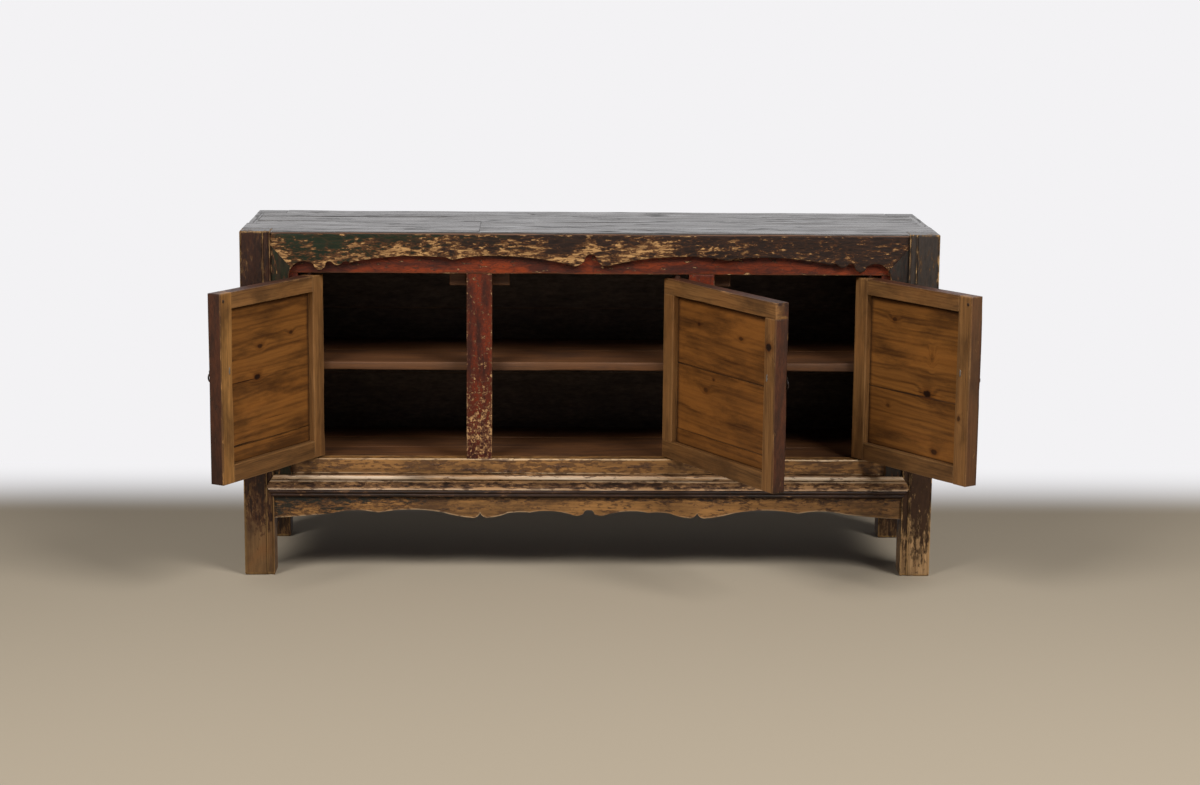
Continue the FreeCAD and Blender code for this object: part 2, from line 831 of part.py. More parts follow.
def forged_bar(start, end):
    """Straight stretch of the split pin, across the width of the door, with hammered flats."""
    along = (end - start).normalize()
    side = Vector(1, 0, 0)
    rise = along.cross(side)
    turns = [2 * math.pi * flat / forged_sides for flat in range(forged_sides)]
    corners = [start + (side * math.cos(t) + rise * math.sin(t)) * (shank_diameter / 2) for t in turns]
    return Part.Face(Part.makePolygon(corners + corners[:1])).extrude(end - start)


def eye_centre(door):
    """Middle of the eye, which sags a little below the pin."""
    return Vector(pull_x(door), outer_face - eye_reach, pull_height - eye_sag)


def pull_pieces(door):
    """Round plate, and split pin with an eye in front and two clinched tails inside."""
    x = pull_x(door)
    out = Vector(0, -1, 0)
    plate = rod(plate_diameter, Vector(x, outer_face, pull_height), out * plate_thickness)
    plate = plate.cut(pull_bore(door))
    eye_radius = (eye_hole + eye_wire) / 2
    eye = forged_ring(eye_radius, eye_wire, eye_centre(door), Vector(1, 0, 0))
    bend = Vector(x, outer_face - plate_thickness - shank_stand, pull_height)
    start = Vector(x, inner_face, pull_height)
    neck_end = eye_centre(door) - out * eye_radius
    shank = forged_bar(start, bend).fuse(forged_bar(bend, neck_end))
    edge = tail_width / 2
    shoulder = tail_up - tail_point
    hip = tail_point - tail_down
    outline = ((0, tail_up), (edge, shoulder), (edge, hip), (0, -tail_down), (-edge, hip), (-edge, shoulder))
    points = [Vector(x + dx, inner_face, pull_height + dz) for dx, dz in outline]
    tails = Part.Face(Part.makePolygon(points + points[:1])).extrude(Vector(0, tail_thickness, 0))
    return [plate, eye.fuse(shank).fuse(tails).removeSplitter()]


def ring(door):
    """Ring that hangs in the eye of the pin."""
    radius = (ring_diameter - ring_wire) / 2
    drop = (eye_hole - ring_wire) / 2 - ring_play
    centre = eye_centre(door) - Vector(0, 0, drop + radius)
    return forged_ring(radius, ring_wire, centre, Vector(0, 1, 0))


def make_doors():
    """The three doors with their pulls."""
    for door in doors:
        for name, pieces in door_pieces(door).items():
            export(door.name + "_" + name, *[placed(piece, door) for piece in pieces])
        export(door.name + "_pull", *[placed(piece, door) for piece in pull_pieces(door)])
        export(door.name + "_ring", placed(ring(door), door))


def main():
    """Build and write every piece."""
    os.makedirs("parts", exist_ok=True)
    make_posts()
    make_frame()
    make_base()
    make_lower_apron()
    make_upper_apron()
    make_walls()
    make_floor_and_shelf()
    make_top()
    make_stops()
    make_doors()


main()
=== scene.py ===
"""Low lacquered cabinet with three pivot doors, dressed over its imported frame.

Sizes are kept in millimetres, as the joiner's drawing has them, and meshes are written in metres.
"""
import logging
import math
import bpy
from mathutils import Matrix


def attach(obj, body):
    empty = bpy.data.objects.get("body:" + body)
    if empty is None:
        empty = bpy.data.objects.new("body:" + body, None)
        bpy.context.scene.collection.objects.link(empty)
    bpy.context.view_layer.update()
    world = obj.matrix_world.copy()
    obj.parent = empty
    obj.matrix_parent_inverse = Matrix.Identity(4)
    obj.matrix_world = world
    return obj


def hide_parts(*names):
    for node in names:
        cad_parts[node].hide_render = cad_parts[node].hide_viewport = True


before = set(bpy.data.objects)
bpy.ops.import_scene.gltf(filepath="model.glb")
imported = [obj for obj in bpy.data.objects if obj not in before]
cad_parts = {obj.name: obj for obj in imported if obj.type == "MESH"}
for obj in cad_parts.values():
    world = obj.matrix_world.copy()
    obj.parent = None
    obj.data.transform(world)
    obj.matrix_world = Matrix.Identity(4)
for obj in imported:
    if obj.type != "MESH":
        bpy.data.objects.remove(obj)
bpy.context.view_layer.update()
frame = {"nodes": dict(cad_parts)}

import zlib
from dataclasses import dataclass, field, replace
from enum import Enum
from typing import Any, Optional, Sequence, Union

import bpy
import numpy as np
from mathutils import Matrix, Vector

LOG = logging.getLogger("cabinet")
Array = np.ndarray
Pair = tuple[float, float]
Triple = tuple[float, float, float]
MM = 0.001
CARCASS = "carcass"
SIDES = ((-1, "left"), (1, "right"))
SHARP_DEGREES = 42.0

ATTRIBUTE = "ShaderNodeAttribute"
COORDS = "ShaderNodeTexCoord"
MATH = "ShaderNodeMath"
VECTOR = "ShaderNodeVectorMath"
SPLIT = "ShaderNodeSeparateXYZ"
NOISE = "ShaderNodeTexNoise"
CELLS = "ShaderNodeTexVoronoi"
RANGE = "ShaderNodeMapRange"
MIX = "ShaderNodeMix"
BUMP = "ShaderNodeBump"
RAYS = "ShaderNodeLightPath"
# Settings that many nodes share: a mix of colours, a range with soft ends, and the span of most of a noise.
TINT = {"out": 2, "data_type": "RGBA"}
SOFT = {"interpolation_type": "SMOOTHSTEP"}
SPREAD = {1: 0.3, 2: 0.7}


# Colour and nodes


def linear(code: str) -> tuple[float, float, float, float]:
    """Turn an sRGB hex code into linear red, green, blue and a full alpha.

    Args:
        code: Colour such as "#6f4c2b".

    Returns:
        Linear RGBA.
    """
    shown = np.array([int(code[i:i + 2], 16) for i in (1, 3, 5)]) / 255
    light = np.where(shown <= 0.04045, shown / 12.92, ((shown + 0.055) / 1.055) ** 2.4)
    return (float(light[0]), float(light[1]), float(light[2]), 1.0)


def add(tree: Any, kind: str, inputs: Optional[dict] = None, out: Union[int, str] = 0, **settings: Any) -> Any:
    """Add a node with its settings and links.

    Args:
        tree: Node tree that takes the node.
        kind: Blender's name for the node.
        inputs: Socket name or number to a value, or to a socket that is linked.
        out: Output to hand back.
        settings: Properties of the node.

    Returns:
        The chosen output socket.
    """
    made = tree.nodes.new(kind)
    for key, value in settings.items():
        setattr(made, key, value)
    for key, value in (inputs or {}).items():
        if isinstance(value, bpy.types.NodeSocket):
            tree.links.new(value, made.inputs[key])
        else:
            made.inputs[key].default_value = value
    return made.outputs[out]


# Finishes


def pace(long_mm: float, wide_mm: float) -> Triple:
    """Scale of a pattern on the grain: repeats in a metre along the grain, and twice across it."""
    return (1 / (long_mm * MM), 1 / (wide_mm * MM), 1 / (wide_mm * MM))


def grained(tree: Any, grain: Any, size_mm: Pair, detail: float, roughness: float, **more: float) -> Any:
    """Noise drawn out along the grain.

    Args:
        tree: Node tree of the material.
        grain: Socket of the grain coordinates.
        size_mm: Size of the pattern along the grain and across it.
        detail: Octaves of the noise.
        roughness: Weight of each octave against the one before.
        more: Other inputs of the noise.

    Returns:
        Socket of the noise, which lies about a half.
    """
    drawn = add(tree, VECTOR, {0: grain, 1: pace(*size_mm)}, operation="MULTIPLY")
    return add(tree, NOISE, {"Vector": drawn, "Scale": 1.0, "Detail": detail, "Roughness": roughness, **more})


class Axis(Enum):
    """What a zone runs along: the cabinet's length or height, or the rise above a plate's low edge."""

    LENGTH = 0
    HEIGHT = 2
    RISE = 3


@dataclass(frozen=True)
class Zone:
    """A stretch in mm along an axis, over which a value goes from one figure to another."""

    axis: Axis
    start: float
    stop: float
    before: float
    after: float
    times: Optional["Zone"] = None

    def value(self, tree: Any) -> Any:
        """Run the value straight from before to after, times the value of a second zone if there is one.

        Args:
            tree: Node tree of the material.

        Returns:
            Socket of the value.
        """
        if self.axis is Axis.RISE:
            spot, unit = add(tree, ATTRIBUTE, out="Fac", attribute_name="rise"), 1.0
        else:
            spot, unit = add(tree, SPLIT, {0: add(tree, COORDS, out="Object")}, out=self.axis.value), MM
        made = add(tree, RANGE, {0: spot, 1: self.start * unit, 2: self.stop * unit, 3: self.before, 4: self.after})
        if self.times is None:
            return made
        return add(tree, MATH, {0: made, 1: self.times.value(tree)}, operation="MULTIPLY")


@dataclass(frozen=True)
class Look:
    """Sockets of one surface: colour, roughness and height."""

    colour: Any
    rough: Any
    height: Any


@dataclass(frozen=True)
class Knot:
    """A knot or a short crack in a board: its place along and across the grain, its half sizes in mm, its depth."""

    along: float
    across: float
    long: float
    wide: float
    dark: float = 1.0
    # Share of the noise in the outline, and how far out the years bend, the heart goes and the halo goes.
    GNARL = 0.7
    SWIRL = (0.6, 4.5)
    HEART = (1.05, 1.55)
    HALO = (1.3, 2.8)

    def reach(self, tree: Any, place: Any, gnarl: Any) -> Any:
        """Distance from the knot's middle in units of its half size, plus up to 0.7 of noise.

        Args:
            tree: Node tree of the material.
            place: Socket of the place on the board.
            gnarl: Socket of the noise that makes the outline uneven.

        Returns:
            Socket of the distance.
        """
        offset = add(tree, VECTOR, {0: place, 1: (self.along * MM, self.across * MM, 0.0)}, operation="SUBTRACT")
        shrink = (1 / (self.long * MM), 1 / (self.wide * MM), 0.0)
        squeezed = add(tree, VECTOR, {0: offset, 1: shrink}, operation="MULTIPLY")
        far = add(tree, VECTOR, {0: squeezed}, out="Value", operation="LENGTH")
        return add(tree, MATH, {0: gnarl, 1: self.GNARL, 2: far}, operation="MULTIPLY_ADD")


@dataclass(frozen=True)
class BareWood:
    """Old conifer wood, sawn and planed by hand, with its years, fibres, streaks, stains, rubbed arrises and knots."""

    name: str
    light: str
    dark: str
    stain: str
    rubbed: str
    warm: str = "#7a4a20"
    warm_mix: float = 0.0
    ring_mm: float = 8.0
    ring_mix: float = 0.4
    streak_mm: Pair = (300.0, 13.0)
    streak_mix: float = 0.5
    fibre_mm: Pair = (90.0, 2.6)
    fibre_mix: float = 0.25
    stain_mm: Pair = (170.0, 77.0)
    stain_mix: float = 0.6
    rub_mm: float = 4.0
    rub_mix: float = 0.5
    # Width in mm and tone of the grime and painted shade beside a panel's frame; none when the width is nought.
    grime_and_shade_mm: float = 0.0
    grime_and_shade_tone: str = "#1f1007"
    rough: float = 0.6
    knots: tuple[Knot, ...] = ()
    knot_tone: str = "#1d0d05"
    halo_tone: str = "#4a2409"

    def stem(self, tree: Any, grain: Any) -> Any:
        """Depth in the stem: distance from the pith, plus a slow taper along it, plus a wander of 50 mm.

        Args:
            tree: Node tree of the material.
            grain: Socket of the grain coordinates.

        Returns:
            Socket of the depth, in metres.
        """
        along = add(tree, SPLIT, {0: grain})
        wander = grained(tree, grain, (450.0, 110.0), 4.0, 0.55)
        across = add(tree, VECTOR, {0: grain, 1: (0.0, 1.0, 1.0)}, operation="MULTIPLY")
        radius = add(tree, VECTOR, {0: across}, out="Value", operation="LENGTH")
        taper = add(tree, MATH, {0: along, 1: 0.016, 2: radius}, operation="MULTIPLY_ADD")
        return add(tree, MATH, {0: wander, 1: 50 * MM, 2: taper}, operation="MULTIPLY_ADD")

    def knotted(self, tree: Any, stem: Any) -> tuple[Any, Any, Any]:
        """Push the years round each knot, and mark its dark heart and its resin halo.

        Args:
            tree: Node tree of the material.
            stem: Depth in the stem.

        Returns:
            Sockets of the new depth, the hearts and the halos, the last two None where there is no knot.
        """
        heart = halo = None
        if not self.knots:
            return stem, heart, halo
        place = add(tree, ATTRIBUTE, out="Vector", attribute_name="place")
        # Noise of 7 mm makes a knot's outline uneven by about a third of its size.
        gnarl = add(tree, NOISE, {"Vector": place, "Scale": 1 / (7 * MM), "Detail": 3.0, "Roughness": 0.6})
        for knot in self.knots:
            reach = knot.reach(tree, place, gnarl)
            swirl, core, ring = (
                add(tree, RANGE, {0: reach, 1: span[0], 2: span[1], 3: peak, 4: 0.0}, **SOFT)
                for span, peak in ((knot.SWIRL, knot.wide * 2.2 * MM), (knot.HEART, knot.dark), (knot.HALO, knot.dark)))
            stem = add(tree, MATH, {0: stem, 1: swirl}, operation="ADD")
            heart = core if heart is None else add(tree, MATH, {0: heart, 1: core}, operation="MAXIMUM")
            halo = ring if halo is None else add(tree, MATH, {0: halo, 1: ring}, operation="MAXIMUM")
        return stem, heart, halo

    def years(self, tree: Any, stem: Any) -> Any:
        """Late wood of the years: two sines of the depth beat, so that years differ in width and depth.

        Args:
            tree: Node tree of the material.
            stem: Depth in the stem.

        Returns:
            Socket of the late wood, from 0 to 1.
        """
        turns = add(tree, MATH, {0: stem, 1: 2 * math.pi / (self.ring_mm * MM)}, operation="MULTIPLY")
        wave = add(tree, MATH, {0: turns}, operation="SINE")
        slower = add(tree, MATH, {0: turns, 1: 0.37, 2: 2.0}, operation="MULTIPLY_ADD")
        beat = add(tree, MATH, {0: slower}, operation="SINE")
        both = add(tree, MATH, {0: wave, 1: beat}, operation="ADD")
        return add(tree, RANGE, {0: both, 1: -0.6, 2: 2.0, 3: 0.0, 4: 1.0})

    def look(self, tree: Any) -> Look:
        """Mix light and dark wood by years, streaks and fibres; lay on warmth, stains, rubbing, grime, painted shade,
        knots.

        Args:
            tree: Node tree of the material.

        Returns:
            Colour, roughness and height of the bare wood.
        """
        grain = add(tree, ATTRIBUTE, out="Vector", attribute_name="grain")
        arris = add(tree, ATTRIBUTE, out="Fac", attribute_name="arris")
        stem, heart, halo = self.knotted(tree, self.stem(tree, grain))
        years = self.years(tree, stem)
        # A fibre is well under a millimetre wide, and is drawn as coarse as it needs to show.
        fibre = grained(tree, grain, self.fibre_mm, 5.0, 0.7)
        streak = grained(tree, grain, self.streak_mm, 4.0, 0.65)
        blotch = grained(tree, grain, self.stain_mm, 6.0, 0.65)
        glow = grained(tree, grain, self.stain_mm, 5.0, 0.6, Scale=0.7, Distortion=0.6)
        streaks = add(tree, RANGE, {0: streak, 1: 0.32, 2: 0.68, 3: 0.0, 4: self.streak_mix})
        tone = add(tree, MATH, {0: years, 1: self.ring_mix, 2: streaks}, operation="MULTIPLY_ADD")
        lift = add(tree, RANGE, {0: fibre, **SPREAD, 3: -self.fibre_mix, 4: self.fibre_mix})
        tone = add(tree, MATH, {0: tone, 1: lift}, operation="ADD", use_clamp=True)
        warmed = add(tree, RANGE, {0: glow, 1: 0.48, 2: 0.64, 3: 0.0, 4: self.warm_mix})
        soiled = add(tree, RANGE, {0: blotch, 1: 0.48, 2: 0.66, 3: 0.0, 4: self.stain_mix})
        near = add(tree, RANGE, {0: arris, 1: 0.0, 2: self.rub_mm, 3: 1.0, 4: 0.0})
        ragged = add(tree, RANGE, {0: streak, 1: 0.4, 2: 0.6, 3: 0.1, 4: 1.0})
        rub = add(tree, MATH, {0: near, 1: ragged}, operation="MULTIPLY")
        rub = add(tree, MATH, {0: rub, 1: self.rub_mix}, operation="MULTIPLY", use_clamp=True)
        layers = [(tone, self.dark), (warmed, self.warm), (soiled, self.stain), (rub, self.rubbed)]
        # Grime and painted shade: the wood darkens beside the frame, most under the top rail, where the rail's shadow
        # is painted in.
        if self.grime_and_shade_mm:
            recess = add(tree, ATTRIBUTE, out="Fac", attribute_name="recess")
            uneven = add(tree, MATH, {0: blotch, 1: self.grime_and_shade_mm, 2: recess}, operation="MULTIPLY_ADD")
            low, high = self.grime_and_shade_mm * 0.45, self.grime_and_shade_mm * 1.5
            dirt = add(tree, RANGE, {0: uneven, 1: low, 2: high, 3: 0.85, 4: 0.0}, **SOFT)
            layers.append((dirt, self.grime_and_shade_tone))
        if self.knots:
            resin = add(tree, MATH, {0: halo, 1: 0.55}, operation="MULTIPLY")
            layers += [(resin, self.halo_tone), (heart, self.knot_tone)]
        colour = linear(self.light)
        for share, hue in layers:
            colour = add(tree, MIX, {0: share, 6: colour, 7: linear(hue)}, **TINT)
        rough = add(tree, RANGE, {0: fibre, **SPREAD, 3: self.rough - 0.1, 4: self.rough + 0.1})
        worked = add(tree, MATH, {0: years, 1: 0.3, 2: fibre}, operation="MULTIPLY_ADD")
        return Look(colour, rough, worked)

    def material(self) -> Any:
        """Make a material of the bare wood, with its relief about a third of a millimetre deep.

        Returns:
            The material.
        """
        made, tree, shader = blank(self.name)
        finish(tree, shader, self.look(tree), 0.5, 0.35)
        shader.inputs["Specular IOR Level"].default_value = 0.35
        return made


@dataclass(frozen=True)
class WornLacquer:
    """Brushed lacquer on old conifer wood, crazed, and flaked off to the wood where hands and feet rub."""

    name: str
    under: BareWood
    coat: str
    second: str
    ground: str
    zones: tuple[Zone, ...] = ()
    drift: Optional[Zone] = None
    bias: float = 0.0
    edge: float = 0.2
    edge_mm: float = 5.0
    flake_mm: float = 24.0
    stretch: float = 2.5
    patch: float = 1.0
    chip_mm: Pair = (22.0, 7.0)
    fine: float = 0.8
    rough: float = 0.45
    specular: float = 0.25
    plate_mm: Pair = (45.0, 12.0)
    crack_share: float = 0.08
    crack_mix: float = 0.3
    crack_loss: float = 0.0
    residue: float = 0.75
    residue_to: float = 1.0
    relief_mm: float = 0.5
    roof: str = ""
    roof_mm: Pair = (803.2, 804.2)
    # Loss at which the ground starts to show and shows in full, and at which the film is gone.
    THIN = (0.6, 0.68)
    GONE = (0.7, 0.73)
    # Weight of the flecks of ground on bared wood, the loss at which they start, and half their soft rim.
    FLECK = 0.9
    FLECK_FROM = 0.72
    FLECK_RIM = 0.04

    def crazing(self, tree: Any, grain: Any, flakes: Any) -> Any:
        """Cracks between long plates of lacquer that follow the grain and bend with the flakes.

        Args:
            tree: Node tree of the material.
            grain: Socket of the grain coordinates.
            flakes: Socket of the coarse noise.

        Returns:
            Socket of the cracks.
        """
        plates = add(tree, VECTOR, {0: grain, 1: pace(*self.plate_mm)}, operation="MULTIPLY")
        plates = add(tree, VECTOR, {0: flakes, 1: plates}, operation="ADD")
        craze = add(tree, CELLS, {"Vector": plates, "Scale": 1.0}, feature="DISTANCE_TO_EDGE")
        return add(tree, RANGE, {0: craze, 1: 0.0, 2: self.crack_share, 3: self.crack_mix, 4: 0.0})

    def film(self, tree: Any, grain: Any, chips: Any, cover: Any) -> Any:
        """Colour of the lacquer film: two coats drift into each other, and the ground shows through cover.

        Args:
            tree: Node tree of the material.
            grain: Socket of the grain coordinates.
            chips: Socket of the fine noise, which shades the film.
            cover: Socket of the share of ground that shows.

        Returns:
            Socket of the colour.
        """
        cloud = grained(tree, grain, (140.0, 31.0), 6.0, 0.65)
        if self.drift is not None:
            cloud = add(tree, MATH, {0: cloud, 1: self.drift.value(tree)}, operation="ADD")
        blend = add(tree, RANGE, {0: cloud, 1: 0.41, 2: 0.59, 3: 0.0, 4: 1.0})
        colour = add(tree, MIX, {0: blend, 6: linear(self.coat), 7: linear(self.second)}, **TINT)
        shade = add(tree, RANGE, {0: chips, **SPREAD, 3: 0.6, 4: 1.4})
        colour = add(tree, VECTOR, {0: colour, "Scale": shade}, operation="SCALE")
        return add(tree, MIX, {0: cover, 6: colour, 7: linear(self.ground)}, **TINT)

    def loss(self, tree: Any, flakes: Any, chips: Any, crack: Any) -> Any:
        """Loss of lacquer: coarse and fine noise about a half, raised by cracks, near the arrises and in the zones.

        Args:
            tree: Node tree of the material.
            flakes: Socket of the coarse noise.
            chips: Socket of the fine noise.
            crack: Socket of the cracks.

        Returns:
            Socket of the loss.
        """
        arris = add(tree, ATTRIBUTE, out="Fac", attribute_name="arris")
        lost = self.bias + 0.5 - (self.fine + self.patch) / 2
        for noise, weight in ((chips, self.fine), (flakes, self.patch), (crack, self.crack_loss)):
            lost = add(tree, MATH, {0: noise, 1: weight, 2: lost}, operation="MULTIPLY_ADD")
        near = add(tree, RANGE, {0: arris, 1: 0.0, 2: self.edge_mm, 3: self.edge, 4: 0.0})
        for extra in [near] + [zone.value(tree) for zone in self.zones]:
            lost = add(tree, MATH, {0: lost, 1: extra}, operation="ADD")
        return lost

    def bared(self, tree: Any, grain: Any, lost: Any, covered: Any, wood: Any) -> Any:
        """Colour of the wood where lacquer is gone, with flecks of ground that thin out as the loss grows.

        Args:
            tree: Node tree of the material.
            grain: Socket of the grain coordinates.
            lost: Socket of the loss.
            covered: Socket of the share of the piece that was ever lacquered.
            wood: Socket of the bare wood's colour.

        Returns:
            Socket of the colour.
        """
        # Flecks of 3 by 9 mm, drawn as coarse as they need to show.
        dots = grained(tree, grain, (18.0, 6.0), 3.0, 0.6)
        bitten = add(tree, MATH, {0: dots, 1: self.FLECK, 2: lost}, operation="MULTIPLY_ADD")
        level = self.FLECK / 2 + (self.FLECK_FROM + self.residue_to) / 2
        low, high = level - self.FLECK_RIM, level + self.FLECK_RIM
        crust = add(tree, RANGE, {0: bitten, 1: low, 2: high, 3: self.residue, 4: 0.0})
        crust = add(tree, MATH, {0: crust, 1: covered}, operation="MULTIPLY")
        return add(tree, MIX, {0: crust, 6: wood, 7: linear(self.ground)}, **TINT)

    def look(self, tree: Any) -> Look:
        """Cover the wood with lacquer, less what is lost.

        Past the loss named GONE the bare wood shows, and from THIN on the ground coat shows through the film.

        Args:
            tree: Node tree of the material.

        Returns:
            Colour, roughness and height of the worn lacquer.
        """
        wood = self.under.look(tree)
        grain = add(tree, ATTRIBUTE, out="Vector", attribute_name="grain")
        covered = add(tree, ATTRIBUTE, out="Fac", attribute_name="coat")
        flakes = grained(tree, grain, (self.flake_mm * self.stretch, self.flake_mm), 7.0, 0.62)
        chips = grained(tree, grain, self.chip_mm, 4.0, 0.7)
        crack = self.crazing(tree, grain, flakes)
        lost = self.loss(tree, flakes, chips, crack)
        gone = add(tree, RANGE, {0: lost, 1: self.GONE[0], 2: self.GONE[1], 3: 0.0, 4: 1.0}, **SOFT)
        thin = add(tree, RANGE, {0: lost, 1: self.THIN[0], 2: self.THIN[1], 3: 0.0, 4: 0.9})
        colour = self.film(tree, grain, chips, add(tree, MATH, {0: crack, 1: thin}, operation="MAXIMUM"))
        kept = add(tree, MATH, {0: 1.0, 1: gone}, operation="SUBTRACT")
        kept = add(tree, MATH, {0: kept, 1: covered}, operation="MULTIPLY", use_clamp=True)
        dull = add(tree, RANGE, {0: flakes, **SPREAD, 3: self.rough - 0.08, 4: self.rough + 0.12})
        dull = add(tree, MATH, {0: crack, 1: 0.35, 2: dull}, operation="MULTIPLY_ADD")
        if self.roof:
            capped = Zone(Axis.HEIGHT, *self.roof_mm, 0.0, 1.0).value(tree)
            colour = add(tree, MIX, {0: capped, 6: colour, 7: linear(self.roof)}, **TINT)
            dull = add(tree, MIX, {0: capped, 2: dull, 3: 0.3}, data_type="FLOAT")
        bared = self.bared(tree, grain, lost, covered, wood.colour)
        colour = add(tree, MIX, {0: kept, 6: bared, 7: colour}, **TINT)
        rough = add(tree, MIX, {0: kept, 2: wood.rough, 3: dull}, data_type="FLOAT")
        bare = add(tree, MATH, {0: wood.height, 1: 0.5}, operation="MULTIPLY")
        proud = add(tree, MATH, {0: chips, 1: 0.6, 2: kept}, operation="MULTIPLY_ADD")
        return Look(colour, rough, add(tree, MATH, {0: bare, 1: proud}, operation="ADD"))

    def material(self) -> Any:
        """Make a material of the worn lacquer, whose film stands proud of the wood.

        Returns:
            The material.
        """
        made, tree, shader = blank(self.name)
        finish(tree, shader, self.look(tree), 0.7, self.relief_mm)
        shader.inputs["Specular IOR Level"].default_value = self.specular
        return made


@dataclass(frozen=True)
class ForgedIron:
    """Iron forged black, with a thin rust bloom and bright rubbed spots."""

    name: str
    scale_tone: str = "#2b2725"
    rust: str = "#4b3022"
    bright: str = "#8d8780"
    rust_mm: float = 3.8
    hammer_mm: float = 2.4

    def material(self) -> Any:
        """Mix scale, rust and rubbed metal by noise of a few millimetres, with hammer marks as relief.

        Returns:
            The material.
        """
        made, tree, shader = blank(self.name)
        spot = add(tree, COORDS, out="Object")
        rust = add(tree, NOISE, {"Vector": spot, "Scale": 1 / (self.rust_mm * MM), "Detail": 5.0})
        marks = add(tree, NOISE, {"Vector": spot, "Scale": 1 / (self.hammer_mm * MM), "Detail": 2.0})
        rusty = add(tree, RANGE, {0: rust, 1: 0.5, 2: 0.62, 3: 0.0, 4: 0.75})
        colour = add(tree, MIX, {0: rusty, 6: linear(self.scale_tone), 7: linear(self.rust)}, **TINT)
        handled = add(tree, ATTRIBUTE, out="Fac", attribute_name="coat")
        rubbed = add(tree, RANGE, {0: marks, 1: 0.58, 2: 0.7, 3: 0.0, 4: 0.8})
        rubbed = add(tree, MATH, {0: rubbed, 1: handled}, operation="MAXIMUM")
        colour = add(tree, MIX, {0: rubbed, 6: colour, 7: linear(self.bright)}, **TINT)
        rough = add(tree, RANGE, {0: rust, **SPREAD, 3: 0.35, 4: 0.65})
        finish(tree, shader, Look(colour, rough, marks), 0.5, 0.3)
        shader.inputs["Metallic"].default_value = 0.85
        return made


def blank(name: str) -> tuple[Any, Any, Any]:
    """Start a node material.

    Args:
        name: Name of the finish.

    Returns:
        The material, its node tree and its shader.
    """
    made = bpy.data.materials.new(name)
    made.use_nodes = True
    tree = made.node_tree
    return made, tree, tree.nodes["Principled BSDF"]


def finish(tree: Any, shader: Any, look: Look, strength: float, deep_mm: float) -> None:
    """Link a look to the shader, with its height as relief.

    Args:
        tree: Node tree of the material.
        shader: Shader that takes the look.
        look: Colour, roughness and height.
        strength: Strength of the relief.
        deep_mm: Depth of the relief.
    """
    relief = add(tree, BUMP, {"Strength": strength, "Distance": deep_mm * MM, "Height": look.height})
    for name, socket in (("Base Color", look.colour), ("Roughness", look.rough), ("Normal", relief)):
        tree.links.new(socket, shader.inputs[name])


# Surfaces


def seed_of(name: str) -> int:
    """A fixed number for a name."""
    return zlib.crc32(name.encode())


def ripple(points: Array, wave: float, seed: int) -> Array:
    """Smooth noise: the mean of sines in random directions, halved in length and height three times.

    Args:
        points: Places, with their coordinates last.
        wave: Longest wavelength, in the unit of the points.
        seed: Number that fixes the directions and phases.

    Returns:
        Values of about -1 to 1, one for each place.
    """
    # Seven sines seldom add up to more than 2.6.
    sines, peak = 7, 2.6
    rng = np.random.default_rng(seed)
    total = np.zeros(points.shape[:-1])
    for octave in range(3):
        way = rng.normal(size=(points.shape[-1], sines))
        way /= np.linalg.norm(way, axis=0)
        phase = rng.uniform(0, 2 * np.pi, sines)
        turns = points @ way * (2 * np.pi * 2 ** octave / wave)
        total += np.sin(turns + phase).sum(-1) / peak / 2 ** octave
    return total


@dataclass(frozen=True)
class Placing:
    """Where a piece's own axes lie: along the grain, across the face and through the thickness."""

    along: Triple
    across: Triple
    through: Triple
    origin: Triple = (0.0, 0.0, 0.0)

    def row(self, local: Array) -> Array:
        """Points in the row frame: the origin plus each own coordinate along its axis."""
        return local @ np.array([self.along, self.across, self.through]) + np.array(self.origin)


LENGTHWISE = Placing((1, 0, 0), (0, 1, 0), (0, 0, 1))
ON_EDGE = Placing((1, 0, 0), (0, 0, 1), (0, 1, 0))
UPRIGHT = Placing((0, 0, 1), (1, 0, 0), (0, 1, 0))
FRONT_TO_BACK = Placing((0, 1, 0), (1, 0, 0), (0, 0, 1))


def mirrored(side: int, inner: float, outer: float) -> Pair:
    """A span on the left (-1) or the right (1) of the middle, low end first."""
    return (inner, outer) if side > 0 else (-outer, -inner)


def sawn_at(seed: int) -> Array:
    """Where a timber was sawn from its stem: up to 9 m along it, 50 mm to a side, and 30 to 100 mm from the pith."""
    rng = np.random.default_rng(seed)
    return np.array([rng.uniform(-9, 9), rng.uniform(-0.05, 0.05), rng.uniform(0.03, 0.1)])


@dataclass(frozen=True)
class Wear:
    """How use has treated a timber, in mm: arris radius, its scatter, end radii and hollows."""

    arris: float = 1.1
    scatter: float = 1.0
    end: float = 0.8
    far_end: float = 0.8
    wave: float = 0.18
    step: float = 24.0
    worn_ends: bool = True


BUTTED = Wear(end=0.3, far_end=0.3, worn_ends=False)
FLUSH = Wear(end=0.2, far_end=0.2, worn_ends=False)
QUARTER_TURN = np.radians([0, 30, 60, 90])
# Distances from an arris, in mm, at which a face has points.
FROM_ARRIS = np.array([4, 8, 14, 24, 40, 62, 90, 125, 170, 225, 290], float)
# Least and greatest radius to which wear takes an arris, in mm.
ARRIS_LIMITS = (0.2, 3.8)
# Six rings at an end: shares of its radius by which each lies in from it and is drawn in, and mm added to each.
END_IN = np.array([0, 0, 0.3, 1, 1, 1])
END_DRAWN = np.array([1, 1, 0.3, 0, 0, 0])
END_STEP = np.array([0, 0, 0, 0, 4, 11])
END_RIM = np.array([5, 0, 0, 0, 0, 0])
# Wavelengths in mm of wear along an arris, of planed faces and of plates, and the step in noise from arris to arris.
RUB_WAVE = 240.0
PLANED_WAVE = 180.0
PLATE_WAVE = 90.0
ARRIS_APART = 531.0
# Hollows are drawn out along the grain.
DRAWN_OUT = (0.4, 1, 1)
# Distance in mm that stands for no arris near.
FAR_OFF = 99.0


